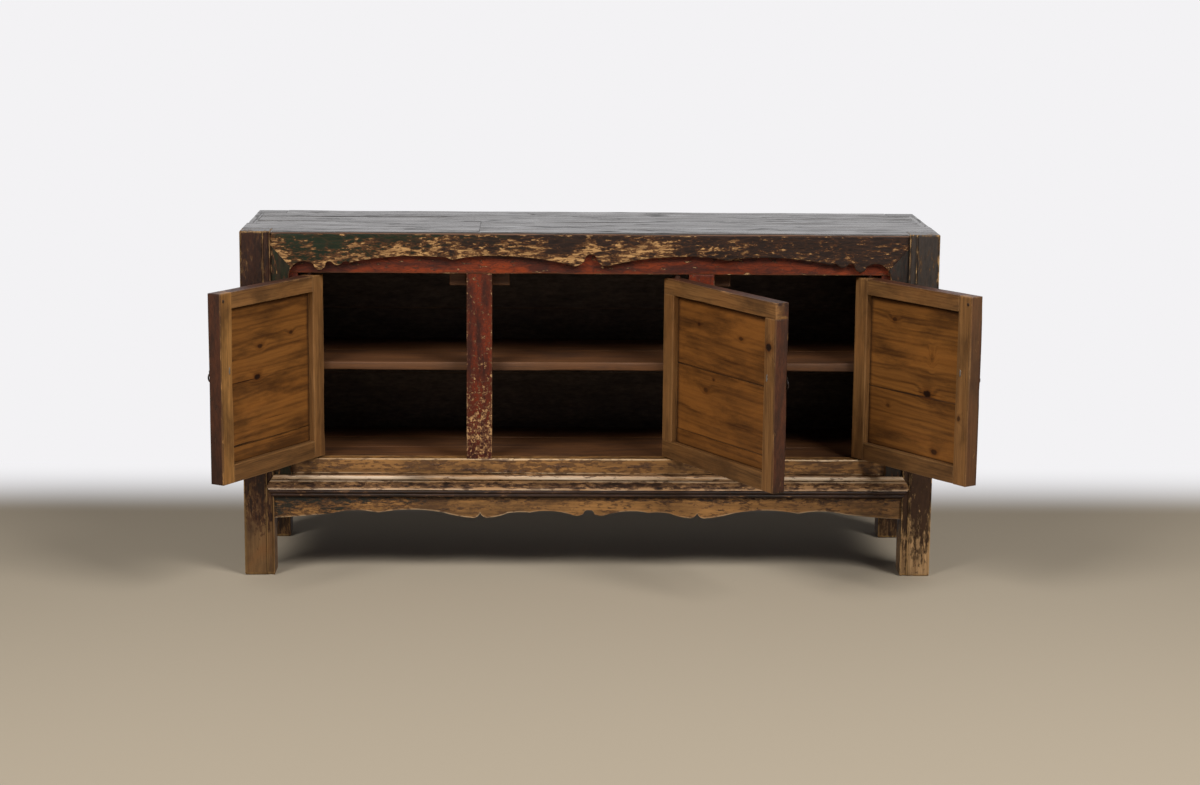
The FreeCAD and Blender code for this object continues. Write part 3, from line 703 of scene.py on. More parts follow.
@dataclass(frozen=True)
class Section:
    """Closed outline of a timber: points, and how each moves as the arris beside it wears."""

    base: Array
    pull: Array
    corner: Array
    arris: Array
    coat: Array
    out: Array
    paired: bool = True

    @classmethod
    def rectangle(cls, across: Pair, through: Pair, coat: Sequence[float] = (1, 1, 1, 1)) -> "Section":
        """Rectangle with an arc at each corner and more points near the arrises.

        A point of an arc lies at the corner plus its radius times (1 - sine) along one side and
        (1 - cosine) along the other.

        Args:
            across: Low and high edge across the face.
            through: Low and high face through the thickness.
            coat: Cover of the four sides: low face, high edge, high face, low edge.

        Returns:
            The section, started in the middle of its low edge so that its halves mirror each other.
        """
        (b0, b1), (c0, c1) = across, through
        corners = np.array([(b0, c0), (b1, c0), (b1, c1), (b0, c1)], float)
        ways = np.array([(1, 0), (0, 1), (-1, 0), (0, -1)], float)
        outs = np.array([(0, -1), (1, 0), (0, 1), (-1, 0)], float)
        spans = np.array([b1 - b0, c1 - c0, b1 - b0, c1 - c0])
        sine, cosine = np.sin(QUARTER_TURN)[:, None], np.cos(QUARTER_TURN)[:, None]
        rows = []
        for i in range(4):
            near = FROM_ARRIS[FROM_ARRIS < spans[i] / 2 - 1]
            run = np.concatenate([near, spans[i] - near[::-1]])[:, None]
            count = len(run)
            rows.append((
                np.concatenate([np.repeat(corners[i][None], 4, 0), corners[i] + run * ways[i]]),
                np.concatenate([(1 - sine) * -ways[i - 1] + (1 - cosine) * ways[i], np.zeros((count, 2))]),
                np.full(4 + count, i),
                np.concatenate([np.zeros(4), np.minimum(run, spans[i] - run)[:, 0]]),
                np.repeat([(coat[i - 1] + coat[i]) / 2, coat[i]], [4, count]),
                np.concatenate([cosine * outs[i - 1] + sine * outs[i], np.repeat(outs[i][None], count, 0)])))
        return cls(*(np.roll(np.concatenate(parts), count // 2, axis=0) for parts in zip(*rows)))

    @classmethod
    def slab(cls, spots: Sequence[float], top: float, foots: Sequence[float], coat: Pair) -> "Section":
        """Board outline given by places across it, level on top, with a foot for each place.

        Args:
            spots: Places across the board, from edge to edge.
            top: Height of the upper face.
            foots: Height of the lower face at each place.
            coat: Cover of the upper and the lower face.

        Returns:
            The section: the upper chain, then the lower chain backwards.
        """
        times = np.ones(len(spots), int)
        times[[0, -1]] = 4
        run, low = np.repeat(spots, times), np.repeat(foots, times)
        lead = np.stack([1 - np.cos(QUARTER_TURN), -(1 - np.sin(QUARTER_TURN))], -1)
        pull = np.concatenate([lead, np.zeros((len(spots) - 2, 2)), lead[::-1] * (-1, 1)])
        upper = np.stack([run, np.full(len(run), top)], -1)
        lower = np.stack([run, low], -1)[::-1]
        corner = (np.arange(len(run)) >= len(run) - 4).astype(int)
        arris = np.minimum(run - run[0], run[-1] - run)
        sides = np.stack([np.zeros(len(run)), np.ones(len(run))], -1)
        return cls(
            base=np.concatenate([upper, lower]),
            pull=np.concatenate([pull, (pull * (1, -1))[::-1]]),
            corner=np.concatenate([corner, (3 - corner)[::-1]]),
            arris=np.concatenate([arris, arris[::-1]]),
            coat=np.concatenate([np.full(len(run), coat[0]), np.full(len(run), coat[1])]),
            out=np.concatenate([sides, -sides[::-1]]),
        )

    @classmethod
    def moulded(cls, points: Array, arris: Array, coat: Array) -> "Section":
        """Moulded outline taken as it is drawn, closed by one face at its ends.

        Args:
            points: Outline, in order.
            arris: Distance of each point from a worn crest.
            coat: Cover of each point.

        Returns:
            The section.
        """
        count = len(points)
        ahead = np.roll(points, -1, 0) - np.roll(points, 1, 0)
        size = np.linalg.norm(ahead, axis=1, keepdims=True)
        turned = np.stack([ahead[:, 1], -ahead[:, 0]], -1) / np.maximum(size, 1e-9)
        inside = points - points.mean(0)
        sign = 1.0 if (turned * inside).sum() > 0 else -1.0
        return cls(points, np.zeros((count, 2)), np.zeros(count, int), arris, coat, turned * sign, paired=False)


@dataclass(frozen=True)
class Shell:
    """A closed surface: points, quads, other faces, and values at the points."""

    points: Array
    quads: Array
    rest: list
    values: dict


def closed(net: Array, values: dict, paired: bool, capped: bool = True) -> Shell:
    """Close a net of rings into a shell: quads between the rings, and a cap at each end.

    A paired ring mirrors itself, so its cap is a strip between the halves. Any other cap is one face.

    Args:
        net: Points, by ring and by place on the ring.
        values: Values at the points, by name.
        paired: Whether the halves of a ring mirror each other.
        capped: Whether the first and last ring are closed.

    Returns:
        The shell, with its faces outwards.
    """
    rings, count = net.shape[:2]
    ring = np.arange(rings - 1)[:, None] * count
    spot = np.arange(count)[None]
    ahead = (spot + 1) % count
    quads = np.stack([ring + spot, ring + ahead, ring + count + ahead, ring + count + spot], -1).reshape(-1, 4)
    rest = []
    if capped and paired:
        k = np.arange(count // 2 - 1)
        strip = np.stack([k, count - 1 - k, count - 2 - k, k + 1], -1)
        end = (rings - 1) * count
        quads = np.concatenate([quads, strip, strip[:, ::-1] + end])
    elif capped:
        rest = [list(range(count))[::-1], list(range((rings - 1) * count, rings * count))]
    points = net.reshape(-1, 3)
    corners = points[quads]
    cross = np.cross(corners[:, 2] - corners[:, 0], corners[:, 3] - corners[:, 1])
    volume = ((corners.mean(1) - points.mean(0)) * cross).sum()
    if volume < 0:
        quads = quads[:, ::-1]
        rest = [face[::-1] for face in rest]
    flat = {key: value.reshape(points.shape[0], -1) for key, value in values.items()}
    return Shell(points, quads, rest, flat)


def carry(section: Section, ends: tuple[Any, Any], placing: Placing, wear: Wear, name: str,
          radii: Sequence[float] = (0, 0, 0, 0), bend: Any = None, stations: Sequence[float] = ()) -> Shell:
    """Carry a section along the grain, with worn arrises, drawn-in ends and hand-planed faces.

    Each ring is the section with its arcs at the local radius. The last rings at an end shrink
    towards the middle of the section, which rounds the end.

    Args:
        section: Outline to carry, in mm.
        ends: Start and end along the grain, one value or one for each point of the section.
        placing: Axes of the timber.
        wear: Its wear.
        name: Name that fixes its noise.
        radii: Extra radius at each corner.
        bend: Function that moves the finished rings, if any, in mm.
        stations: More places for rings along the grain.

    Returns:
        The shell, in metres.
    """
    seed = seed_of(name)
    count = len(section.base)
    start = np.broadcast_to(np.asarray(ends[0], float), (count,))
    stop = np.broadcast_to(np.asarray(ends[1], float), (count,))
    length = float((stop - start).mean())
    lead = END_IN * wear.end + END_STEP
    tail = END_IN * wear.far_end + END_STEP
    middle = np.linspace(0, 1, max(3, int(length / wear.step)) + 2)[1:-1]
    middle = np.union1d(middle, (np.array(stations, float) - start.mean()) / length)
    middle = middle[(middle * length > lead[-1] + 2) & ((1 - middle) * length > tail[-1] + 2)]
    along = np.concatenate([
        start + lead[:, None], start + middle[:, None] * (stop - start), stop - tail[::-1, None]])
    shrink = np.concatenate([
        END_DRAWN * wear.end + END_RIM, np.zeros(len(middle)), (END_DRAWN * wear.far_end + END_RIM)[::-1]])
    to_end = END_RIM + END_STEP
    reach = np.concatenate([to_end, np.minimum(middle, 1 - middle) * length, to_end[::-1]])
    if not wear.worn_ends:
        reach = np.full(len(reach), FAR_OFF)
    station = along.mean(1)
    places = np.stack(np.broadcast_arrays(station[:, None], np.arange(4) * ARRIS_APART), -1)
    rough = np.clip(ripple(places, RUB_WAVE, seed), 0, None) ** 2
    radius = np.clip(wear.arris + wear.scatter * rough, *ARRIS_LIMITS) + np.array(radii)
    ring = section.base + radius[:, section.corner][:, :, None] * section.pull
    low, high = section.base.min(0), section.base.max(0)
    keep = np.clip(1 - shrink[:, None] / ((high - low) / 2), 0.1, 1)
    ring = (low + high) / 2 + (ring - (low + high) / 2) * keep[:, None]
    local = np.concatenate([along[:, :, None], ring], -1)
    hollow = wear.wave * ripple(local * DRAWN_OUT, PLANED_WAVE, seed + 1) * (shrink == 0)[:, None]
    local[..., 1:] += section.out * hollow[..., None]
    if bend is not None:
        local = bend(local)
    values = {
        "grain": local * MM + sawn_at(seed + 2),
        "place": local * MM,
        "arris": np.minimum(section.arris, reach[:, None]),
        "coat": np.broadcast_to(section.coat, reach.shape + (count,)).copy(),
    }
    return closed(placing.row(local * MM), values, section.paired)


def beam(name: str, along: Pair, across: Pair, through: Pair,
         placing: Placing, wear: Wear = Wear(), coat: Sequence[float] = (1, 1, 1, 1),
         radii: Sequence[float] = (0, 0, 0, 0)) -> Shell:
    """A square-cut timber: a worn rectangle carried along its grain.

    Args:
        name: Name that fixes its noise.
        along: Start and end along the grain, in mm.
        across: Edges across the face.
        through: Faces through the thickness.
        placing: Axes of the timber.
        wear: Its wear.
        coat: Cover of the low face, high edge, high face and low edge.
        radii: Extra radius at each corner.

    Returns:
        The shell.
    """
    return carry(Section.rectangle(across, through, coat), along, placing, wear, name, radii)


def tube(path: Array, radius: Array, side: Array, sides: int = 12, loop: bool = False) -> Shell:
    """A round bar: circles about the points of a path, square to it.

    Args:
        path: Points of the middle line, in metres.
        radius: Radius at each point.
        side: A direction that is square to the whole path.
        sides: Points on each circle.
        loop: Whether the path closes on itself.

    Returns:
        The shell.
    """
    if loop:
        ahead = np.roll(path, -1, 0) - np.roll(path, 1, 0)
    else:
        ahead = np.gradient(path, axis=0)
    ahead /= np.linalg.norm(ahead, axis=1, keepdims=True)
    rise = np.cross(ahead, side)
    rise /= np.linalg.norm(rise, axis=1, keepdims=True)
    angle = np.linspace(0, 2 * np.pi, sides, endpoint=False)
    ring = np.cos(angle)[None, :, None] * side + np.sin(angle)[None, :, None] * rise[:, None]
    net = path[:, None] + ring * radius[:, None, None]
    if loop:
        net = np.concatenate([net, net[:1]])
        made = closed(net, {}, True, capped=False)
        count = len(path) * sides
        return Shell(made.points[:count], made.quads % count, [], {})
    return closed(net, {}, True)


def turned(profile: Array, sides: int, middle: Array, axis: Array, side: Array) -> Shell:
    """A turned form: a profile of radius and height, spun about an axis.

    Args:
        profile: Radius and height pairs, in metres.
        sides: Points round the axis.
        middle: Point on the axis at height nought.
        axis: Direction of the axis.
        side: Direction square to it.

    Returns:
        The shell.
    """
    other = np.cross(axis, side)
    angle = np.linspace(0, 2 * np.pi, sides, endpoint=False)
    around = np.cos(angle)[:, None] * side + np.sin(angle)[:, None] * other
    net = middle + profile[:, None, :1] * around + profile[:, None, 1:] * axis
    return closed(net, {}, False)


def enter(name: str, data: Any) -> Any:
    """Enter an object with the given data into the scene.

    Args:
        name: Its name.
        data: Its mesh, lamp or lens.

    Returns:
        The object.
    """
    made = bpy.data.objects.new(name, data)
    bpy.context.scene.collection.objects.link(made)
    return made


def put(node: str, shells: Sequence[Shell], coat: Union["Finish", WornLacquer], body: str = CARCASS,
        stuff: str = "wood") -> None:
    """Make the piece that stands for a node of the frame, dress it and let it ride on its body.

    Args:
        node: Node of the frame.
        shells: Closed surfaces.
        coat: Its finish.
        body: Body that carries it.
        stuff: What it is made of, which ends its name.
    """
    name = "%s.%s" % (node, stuff)
    starts = np.cumsum([0] + [len(shell.points) for shell in shells])
    points = np.concatenate([shell.points for shell in shells])
    faces = []
    for shell, start in zip(shells, starts):
        faces += (shell.quads + start).tolist()
        faces += [[index + int(start) for index in face] for face in shell.rest]
    mesh = bpy.data.meshes.new(name)
    mesh.from_pydata(points, [], faces)
    for key in sorted(set().union(*[shell.values for shell in shells])):
        wide = max(shell.values[key].shape[1] for shell in shells if key in shell.values)
        value = np.concatenate([shell.values.get(key, np.zeros((len(shell.points), wide))) for shell in shells])
        kind, entry = ("FLOAT_VECTOR", "vector") if wide == 3 else ("FLOAT", "value")
        mesh.attributes.new(key, kind, "POINT").data.foreach_set(entry, value.astype(np.float32).ravel())
    mesh.update()
    mesh.shade_smooth()
    mesh.set_sharp_from_angle(angle=math.radians(SHARP_DEGREES))
    mesh.materials.append(coat.material())
    made = enter(name, mesh)
    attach(made, body)
    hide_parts(node)
    LOG.info("%s: %d points on %s", name, len(points), body)


# Finishes of this cabinet

# Tone of the posts' upper ends, which show in the top.
TOP_TONE = "#2d2926"
# Pine of the back, split and left raw, so that it is a dry grey-brown with open grain.
RAW_WOOD = BareWood(
    "pine, raw and greyed", "#7d634a", "#4b3727", "#33251a", "#8a7058", ring_mm=12.0, ring_mix=0.35, streak_mix=0.6,
    fibre_mix=0.4, rough=0.8)
# Pine laid bare where lacquer has flaked off: dry tan, with dark fibres and dirt rubbed in.
CHIP_WOOD = BareWood(
    "pine, bared by flaking", "#ad8453", "#5c3a1e", "#3a2212", "#cfae7c", ring_mix=0.15, streak_mix=0.7,
    streak_mm=(120.0, 8.0), fibre_mm=(40.0, 2.2), fibre_mix=0.7, stain_mm=(60.0, 22.0), stain_mix=0.75, rough=0.7)
# Pine of the top's worn front edge: a dusty pinkish brown line.
EDGE_WOOD = BareWood(
    "pine, rubbed on an edge", "#8a6550", "#4c3428", "#33221a", "#93705a", ring_mix=0.15, streak_mix=0.8, fibre_mix=0.5)
# Elm of the left leg, kicked and mopped bare: an even brown with soft upright grain.
LEG_WOOD = BareWood(
    "elm, rubbed bare", "#6c4f2f", "#452d18", "#2a190d", "#a3814f", "#70431d", 0.45, ring_mm=9.0, ring_mix=0.2,
    fibre_mix=0.32, stain_mix=0.7, rough=0.62)
# Elm of the right leg, bleached paler towards the floor.
PALE_LEG = replace(LEG_WOOD, name="elm, rubbed pale", light="#ae8a5f", dark="#604127", warm_mix=0.0)
# Elm of the base, polished by sleeves and brooms: golden brown with pale, glossy crests, worn pale and partly a painted
# highlight.
BASE_WOOD = BareWood(
    "elm, polished by use", "#9a6d3b", "#553719", "#2d1c0e", "#cdb18b", ring_mm=9.0, ring_mix=0.2, fibre_mix=0.35,
    stain_mix=0.75, rub_mix=0.8, rough=0.48)
# Elm of the base's mouldings, paler and greyer as a painted sheen, the backdrop's reflection on the polish.
SHEEN_GREYED_ELM = replace(BASE_WOOD, name="elm, polished, greyed for painted sheen", light="#a37b51", dark="#5c4028", rubbed="#d2bda3")
# Pine under the red lacquer: small pale scuffs.
PALE_CHIP = BareWood(
    "pine, scuffed bare", "#b38a5a", "#6b4528", "#4b2c18", "#b8946a", ring_mix=0.15, streak_mix=0.6, fibre_mix=0.5,
    stain_mix=0.5, rough=0.7)
# Pine of the door frames, planed, unpainted inside: an olive-tinged brown with fine straight grain.
FRAME_PINE = BareWood(
    "pine, planed and aged", "#875f36", "#452c17", "#332010", "#8f6c43", "#84552a", 0.35, ring_mm=6.0, ring_mix=0.3,
    fibre_mix=0.35, rub_mm=3.0, rub_mix=0.3, rough=0.5)
# Bottom rails of the doors, darker.
LOW_PINE = replace(FRAME_PINE, name="pine, planed and darkened", light="#74502c", dark="#3b2613", warm="#6f461f")
# The left door's free stile, paler.
PALER_STILE_PINE = replace(FRAME_PINE, name="pine, planed, paler", light="#a0733f", dark="#5a3b1e")
# Free stiles of the middle and the right door, with resinous knots.
KNOTTED_PINE = replace(FRAME_PINE, name="pine, planed, with a large knot", knots=(Knot(321, 401, 9, 11),))
DOTTED_PINE = replace(
    FRAME_PINE, name="pine, planed, with small knots", knots=(Knot(371, 312, 5, 4), Knot(150, 330, 6, 5, 0.7)))


def panel_pine(door: str, knots: tuple[Knot, ...], light: str = "#805224") -> BareWood:
    """Flat-sawn pine of a door panel, oiled by age: warm orange-brown with arched years, grime and painted shade by the
    frame.
    """
    return BareWood("pine, flat-sawn, of the %s panel" % door, light, "#42250e", "#2f1a0b", "#1c0f07", "#905a26", 0.5,
                    ring_mm=11.0, ring_mix=0.5, streak_mix=0.32, streak_mm=(420.0, 12.0), fibre_mm=(190.0, 2.0),
                    fibre_mix=0.22, stain_mm=(230.0, 60.0), stain_mix=0.72, rub_mm=2.6, rub_mix=1.0, grime_and_shade_mm=12.0,
                    rough=0.44, knots=knots)


def door_lacquer(name: str, under: BareWood) -> WornLacquer:
    """Thin purple-brown lacquer on the outside and the edges of a door, over the bare wood of its inside."""
    return WornLacquer(name, under, "#482716", "#331e13", "#2a160c", edge=0.14, residue=0.6)


class Finish(Enum):
    """Finishes that several pieces share, made once."""

    # Pine inside the carcass, sawn and left bare. Smoke and dust, with painted shade, make it a dull, nearly black
    # brown.
    INSIDE = BareWood(
        "pine, bare, darkened by smoke and painted shade", "#544a42", "#362f2a", "#231d19", "#5c4f44", ring_mm=11.0, ring_mix=0.3,
        streak_mix=0.6, rough=0.75)
    # Pine of the shelf, the floor and the door stops, planed. It is a warm matt brown, paler along the handled edge.
    SHELF = BareWood(
        "pine, planed and handled", "#5c381b", "#331e0f", "#24140a", "#694424", ring_mm=10.0, ring_mix=0.25,
        fibre_mix=0.4, rub_mm=6.0, rub_mix=0.4)
    # Hardwood pegs, oiled and dark, that read as small round dots.
    PEG = BareWood("jujube wood, turned and oiled", "#2e1c11", "#1b0f08", "#140b06", "#40291a", ring_mm=3.0, rough=0.5)
    # Wrought iron, forged black, rusty in the pits and bright where fingers rub.
    IRON = ForgedIron("wrought iron, forged")
    # Lacquer of the left front post: dark red-brown, chipped along its arrises and worn through towards the floor.
    POST_LEFT = WornLacquer(
        "lacquer, red-brown, on the left post", LEG_WOOD, "#2f190f", "#22140d", "#3a210f",
        (Zone(Axis.HEIGHT, 260, 20, 0.0, 0.42), Zone(Axis.HEIGHT, 135, 75, 0.0, 0.34)), bias=0.03, edge=0.38,
        edge_mm=3.5, flake_mm=18.0, stretch=3.0, fine=1.2, roof=TOP_TONE)
    # Lacquer of the right front post: black above, a brown film on the leg, pale at the foot.
    POST_RIGHT = WornLacquer(
        "lacquer, black to brown, on the right post", PALE_LEG, "#312a25", "#352114", "#35220f",
        (Zone(Axis.HEIGHT, 300, 190, 0.0, 0.04), Zone(Axis.HEIGHT, 170, 20, 0.0, 0.44)),
        Zone(Axis.HEIGHT, 330, 220, -0.5, 0.5), bias=-0.02, edge=0.28, edge_mm=4.5, flake_mm=14.0, stretch=3.0,
        fine=1.3, roof=TOP_TONE)
    # Lacquer of the back posts: a dark brown wash, darkened further as painted shade where they stand back from the
    # light.
    POST_BACK = WornLacquer(
        "lacquer, brown wash, on the back posts", LEG_WOOD, "#2a1c13", "#20160f", "#2d1b0d",
        (Zone(Axis.HEIGHT, 260, 20, 0.0, 0.4),), bias=-0.12, edge=0.16, edge_mm=4.0, roof=TOP_TONE)
    # Lacquer of the upper apron: dark green on the left, black-brown on the right, flaked to tan along the scallops.
    APRON = WornLacquer(
        "lacquer, green to black, on the apron", CHIP_WOOD, "#1a2113", "#231711", "#482a14",
        (Zone(Axis.RISE, 14, 56, 0.31, 0.0, Zone(Axis.LENGTH, 120, 400, 1.0, 0.12)),),
        Zone(Axis.LENGTH, -750, 100, -0.35, 0.35), bias=-0.02, edge=0.14, edge_mm=2.5, flake_mm=22.0,
        chip_mm=(18.0, 6.0), fine=1.6, patch=1.3, residue=0.9, residue_to=1.05, relief_mm=1.0, specular=0.2)
    # Lacquer of the apron's side strips: the same green on the left and black on the right.
    STRIP_LEFT = WornLacquer(
        "lacquer, green, on the left strip", CHIP_WOOD, "#1a2113", "#242014", "#3d2010", bias=0.02, edge_mm=3.0,
        flake_mm=15.0, fine=1.2, specular=0.2)
    STRIP_RIGHT = WornLacquer(
        "lacquer, black, on the right strip", CHIP_WOOD, "#29241f", "#211c18", "#35190d", bias=-0.02, edge=0.18,
        edge_mm=3.0, flake_mm=15.0, fine=1.2, specular=0.2)
    # Red lacquer of the upper rail: brick red with brown clouds and fine dark crazing.
    RED_RAIL = WornLacquer(
        "lacquer, red, brushed", PALE_CHIP, "#742d0f", "#40190c", "#1f0d07", bias=-0.02, edge=0.14, edge_mm=2.5,
        flake_mm=12.0, stretch=3.0, fine=1.3, crack_mix=0.5)
    # Red lacquer of the uprights, scuffed in small flecks that crowd towards the sill.
    RED_UPRIGHT = WornLacquer(
        "lacquer, red, scuffed", PALE_CHIP, "#63230b", "#301309", "#3c150a",
        (Zone(Axis.HEIGHT, 520, 345, 0.0, 0.22), Zone(Axis.HEIGHT, 335, 300, 0.0, -0.05)), bias=-0.02, edge=0.1,
        edge_mm=4.0, flake_mm=10.0, stretch=0.6, chip_mm=(9.0, 8.0), fine=1.5, crack_mix=0.6, crack_loss=0.2,
        plate_mm=(13.0, 9.0))
    # Lacquer of the top: dark, satin, with long drying cracks, so that it shines grey towards the light.
    TOP = WornLacquer(
        "lacquer, black, satin", EDGE_WOOD, "#423d39", "#302b28", "#14110f", bias=-0.16, edge=0.12, edge_mm=4.0,
        flake_mm=22.0, stretch=6.0, rough=0.26, specular=0.55, crack_mix=0.9, crack_share=0.06, plate_mm=(380.0, 24.0),
        relief_mm=0.22)
    # Lacquer of the sides: thin brown wash with the wood's grain under it.
    WALL = WornLacquer("lacquer, brown wash", CHIP_WOOD, "#34241a", "#291d15", "#3a2314", bias=-0.04, edge=0.16)
    # Back boards: raw outside; inside, browned by smoke and darkened as painted shade.
    BACK = WornLacquer(
        "pine, raw outside, smoked and shade-painted inside", RAW_WOOD, "#544a42", "#443c36", "#332b25", bias=-0.4, edge=0.0,
        crack_mix=0.0, rough=0.75, specular=0.2)
    # Sill: lacquer nearly gone, so that polished brown elm shows with dark remains in its grain.
    SILL = WornLacquer(
        "lacquer, nearly gone, on the sill", BASE_WOOD, "#3a2516", "#281910", "#472c17", bias=0.36, edge=0.1,
        flake_mm=22.0, stretch=4.0, fine=0.9, specular=0.4)
    # Base rail: lacquer left in the hollows and on the two small beads, and crests rubbed pale, partly a painted
    # highlight and sheen.
    BASE = WornLacquer(
        "lacquer, left in the hollows of the base", SHEEN_GREYED_ELM, "#2f1d12", "#1e130b", "#432a18",
        (Zone(Axis.HEIGHT, 205, 202, 0.0, -0.28),), bias=0.24, edge=0.32, flake_mm=14.0, stretch=4.0, fine=1.1)
    # Lower apron: golden elm, with greenish black lacquer left at its upper edge and its left end.
    LOWER = WornLacquer(
        "lacquer, nearly gone, on the lower apron", BASE_WOOD, "#1f2018", "#27180f", "#472c17",
        (Zone(Axis.LENGTH, -720, -250, -0.26, 0.0), Zone(Axis.HEIGHT, 168, 184, 0.04, -0.2)),
        Zone(Axis.LENGTH, -700, 300, -0.35, 0.35), bias=0.43, edge=0.1, flake_mm=16.0, stretch=3.0, chip_mm=(14.0, 5.0),
        fine=1.4, relief_mm=0.8, specular=0.4)
    # Thin lacquer outside and bare pine inside, on the frames and the bottom rails of the doors.
    FRAME = door_lacquer("lacquer outside, door frames", FRAME_PINE)
    FOOT = door_lacquer("lacquer outside, bottom rails", LOW_PINE)

    def material(self) -> Any:
        """The finish's material, made on its first use."""
        return bpy.data.materials.get(self.value.name) or self.value.material()


# Sub-assemblies


@dataclass(frozen=True)
class Carcass:
    """Main planes of the carcass, in mm."""

    half: float = 800.0
    front: float = -215.0
    back: float = 215.0
    top: float = 805.0
    post_inner: float = 730.0
    post_back: float = -155.0
    back_post: float = 155.0
    apron: float = -208.0
    frame: float = -194.0
    frame_back: float = -159.0
    rail_top: float = 785.0
    opening_top: float = 708.0
    opening_foot: float = 274.0
    sill_foot: float = 238.0
    base_foot: float = 185.0
    jamb_inner: float = 670.0
    mullion_inner: float = 226.0
    mullion_outer: float = 284.5
    strip_inner: float = 691.0
    floor_top: float = 271.0
    floor_foot: float = 253.0
    lip: float = 6.0
    shoulder: float = 18.0
    housing: float = 10.0
    slack: float = 0.2

    @property
    def between(self) -> Pair:
        """Span between the posts, along the cabinet."""
        return (-self.post_inner, self.post_inner)

    def at_post(self, place: Array) -> Array:
        """Whether each place across a board lies beside a post, where the board is notched."""
        return (place < self.post_back + self.slack) | (place > self.back_post - self.slack)


@dataclass
class Posts:
    """Four posts. The front pair carry two beads and a flute on their inner edge."""

    size: Carcass
    flat: float = 50.0
    bead: float = 3.5
    flute: float = 12.0
    sink: float = 2.0
    hollow: float = 2.5
    corner: float = 3.0

    def section(self, side: int) -> Section:
        """Outline of a front post, from its outer corner along the face to the beads and round.

        A bead is half a circle, and the flute is a parabola of the given depth.

        Args:
            side: -1 for the left post, 1 for the right.

        Returns:
            The moulded section.
        """
        turn = np.linspace(0, np.pi, 7)
        arc = np.linspace(np.pi / 2, 0, 4)
        size, start = self.size, self.flat + 1
        depth = size.post_back - size.front
        # Places of the points on each face, closer together near its arrises.
        face = np.array([6, 10, 16, 24, 33, 41, 46, 49, self.flat])
        first = start + self.bead / 2
        second = start + self.bead * 1.5 + self.flute
        share = np.linspace(-1, 1, 9)[1:-1]
        middle = start + self.bead + self.flute / 2
        width = start + 2 * self.bead + self.flute
        side_run = np.array([5, 9, 10.5, 16, 26, 40, 52, 57, depth])
        back_run = np.array([65, 55, 40, 24, 12, 4, 0])
        outer_run = np.array([56, 48, 36, 24, 14, 8])
        inwards = np.concatenate([
            self.corner * (1 - np.sin(arc))[::-1], face, [self.flat, start],
            first - self.bead / 2 * np.cos(turn), middle + share * self.flute / 2,
            second - self.bead / 2 * np.cos(turn), np.full(9, width), back_run, np.zeros(6)])
        backwards = np.concatenate([
            self.corner * (1 - np.cos(arc))[::-1], np.zeros(9), [self.sink, self.sink],
            self.sink - self.bead / 2 * np.sin(turn), self.sink + self.hollow * (1 - share ** 2),
            self.sink - self.bead / 2 * np.sin(turn), side_run, np.full(7, depth), outer_run])
        arris = np.concatenate([
            np.zeros(4), np.minimum(face - 3, self.flat - face + 2), [3, 3],
            3 * np.abs(np.cos(turn)), np.full(7, 8.0), 3 * np.abs(np.cos(turn)),
            np.minimum(side_run, depth - side_run + 1) + 3, np.full(7, 20.0), np.minimum(outer_run - 3, 20.0)])
        points = np.stack([side * (size.half - inwards), size.front + backwards], -1)
        return Section.moulded(points, arris, np.ones(len(points)))

    def housed(self, side: int) -> Any:
        """Sink a post's front where the pointed end of the base rail is let in.

        Args:
            side: -1 for the left post, 1 for the right.

        Returns:
            Function that moves the points of the post.
        """
        size = self.size
        middle = (size.sill_foot + size.base_foot) / 2
        reach = (size.sill_foot - size.base_foot) / 2
        floor = size.front + size.housing

        def bend(local: Array) -> Array:
            """Slide points past the sloping edge of the housing along it, five times as deep, down to its floor.

            Args:
                local: Points by height, place and depth.

            Returns:
                The moved points.
            """
            share = np.clip(1 - np.abs(local[..., 0] - middle) / reach, 0, 1)
            edge = size.post_inner + size.shoulder * share
            over = np.where(local[..., 2] < floor, edge - side * local[..., 1], 0)
            past = over > 1e-6
            moved = local.copy()
            moved[..., 1] = np.where(past, side * edge, local[..., 1])
            moved[..., 2] = np.where(past, np.minimum(local[..., 2] + over * 5, floor), local[..., 2])
            return moved

        return bend

    def build(self) -> None:
        """Make the four posts."""
        size = self.size
        wear = Wear(end=4.0, far_end=1.6, step=16.0, wave=0.25)
        stations = np.linspace(size.base_foot, size.sill_foot, 15)
        for side, name in SIDES:
            node = "post_front_" + name
            post = carry(self.section(side), (0, size.top), UPRIGHT, wear, node, bend=self.housed(side),
                         stations=stations)
            put(node, [post], Finish["POST_" + name.upper()])
            node = "post_back_" + name
            post = beam(node, (0, size.top), mirrored(side, size.post_inner, size.half), (size.back_post, size.back),
                        UPRIGHT, wear)
            put(node, [post], Finish.POST_BACK)


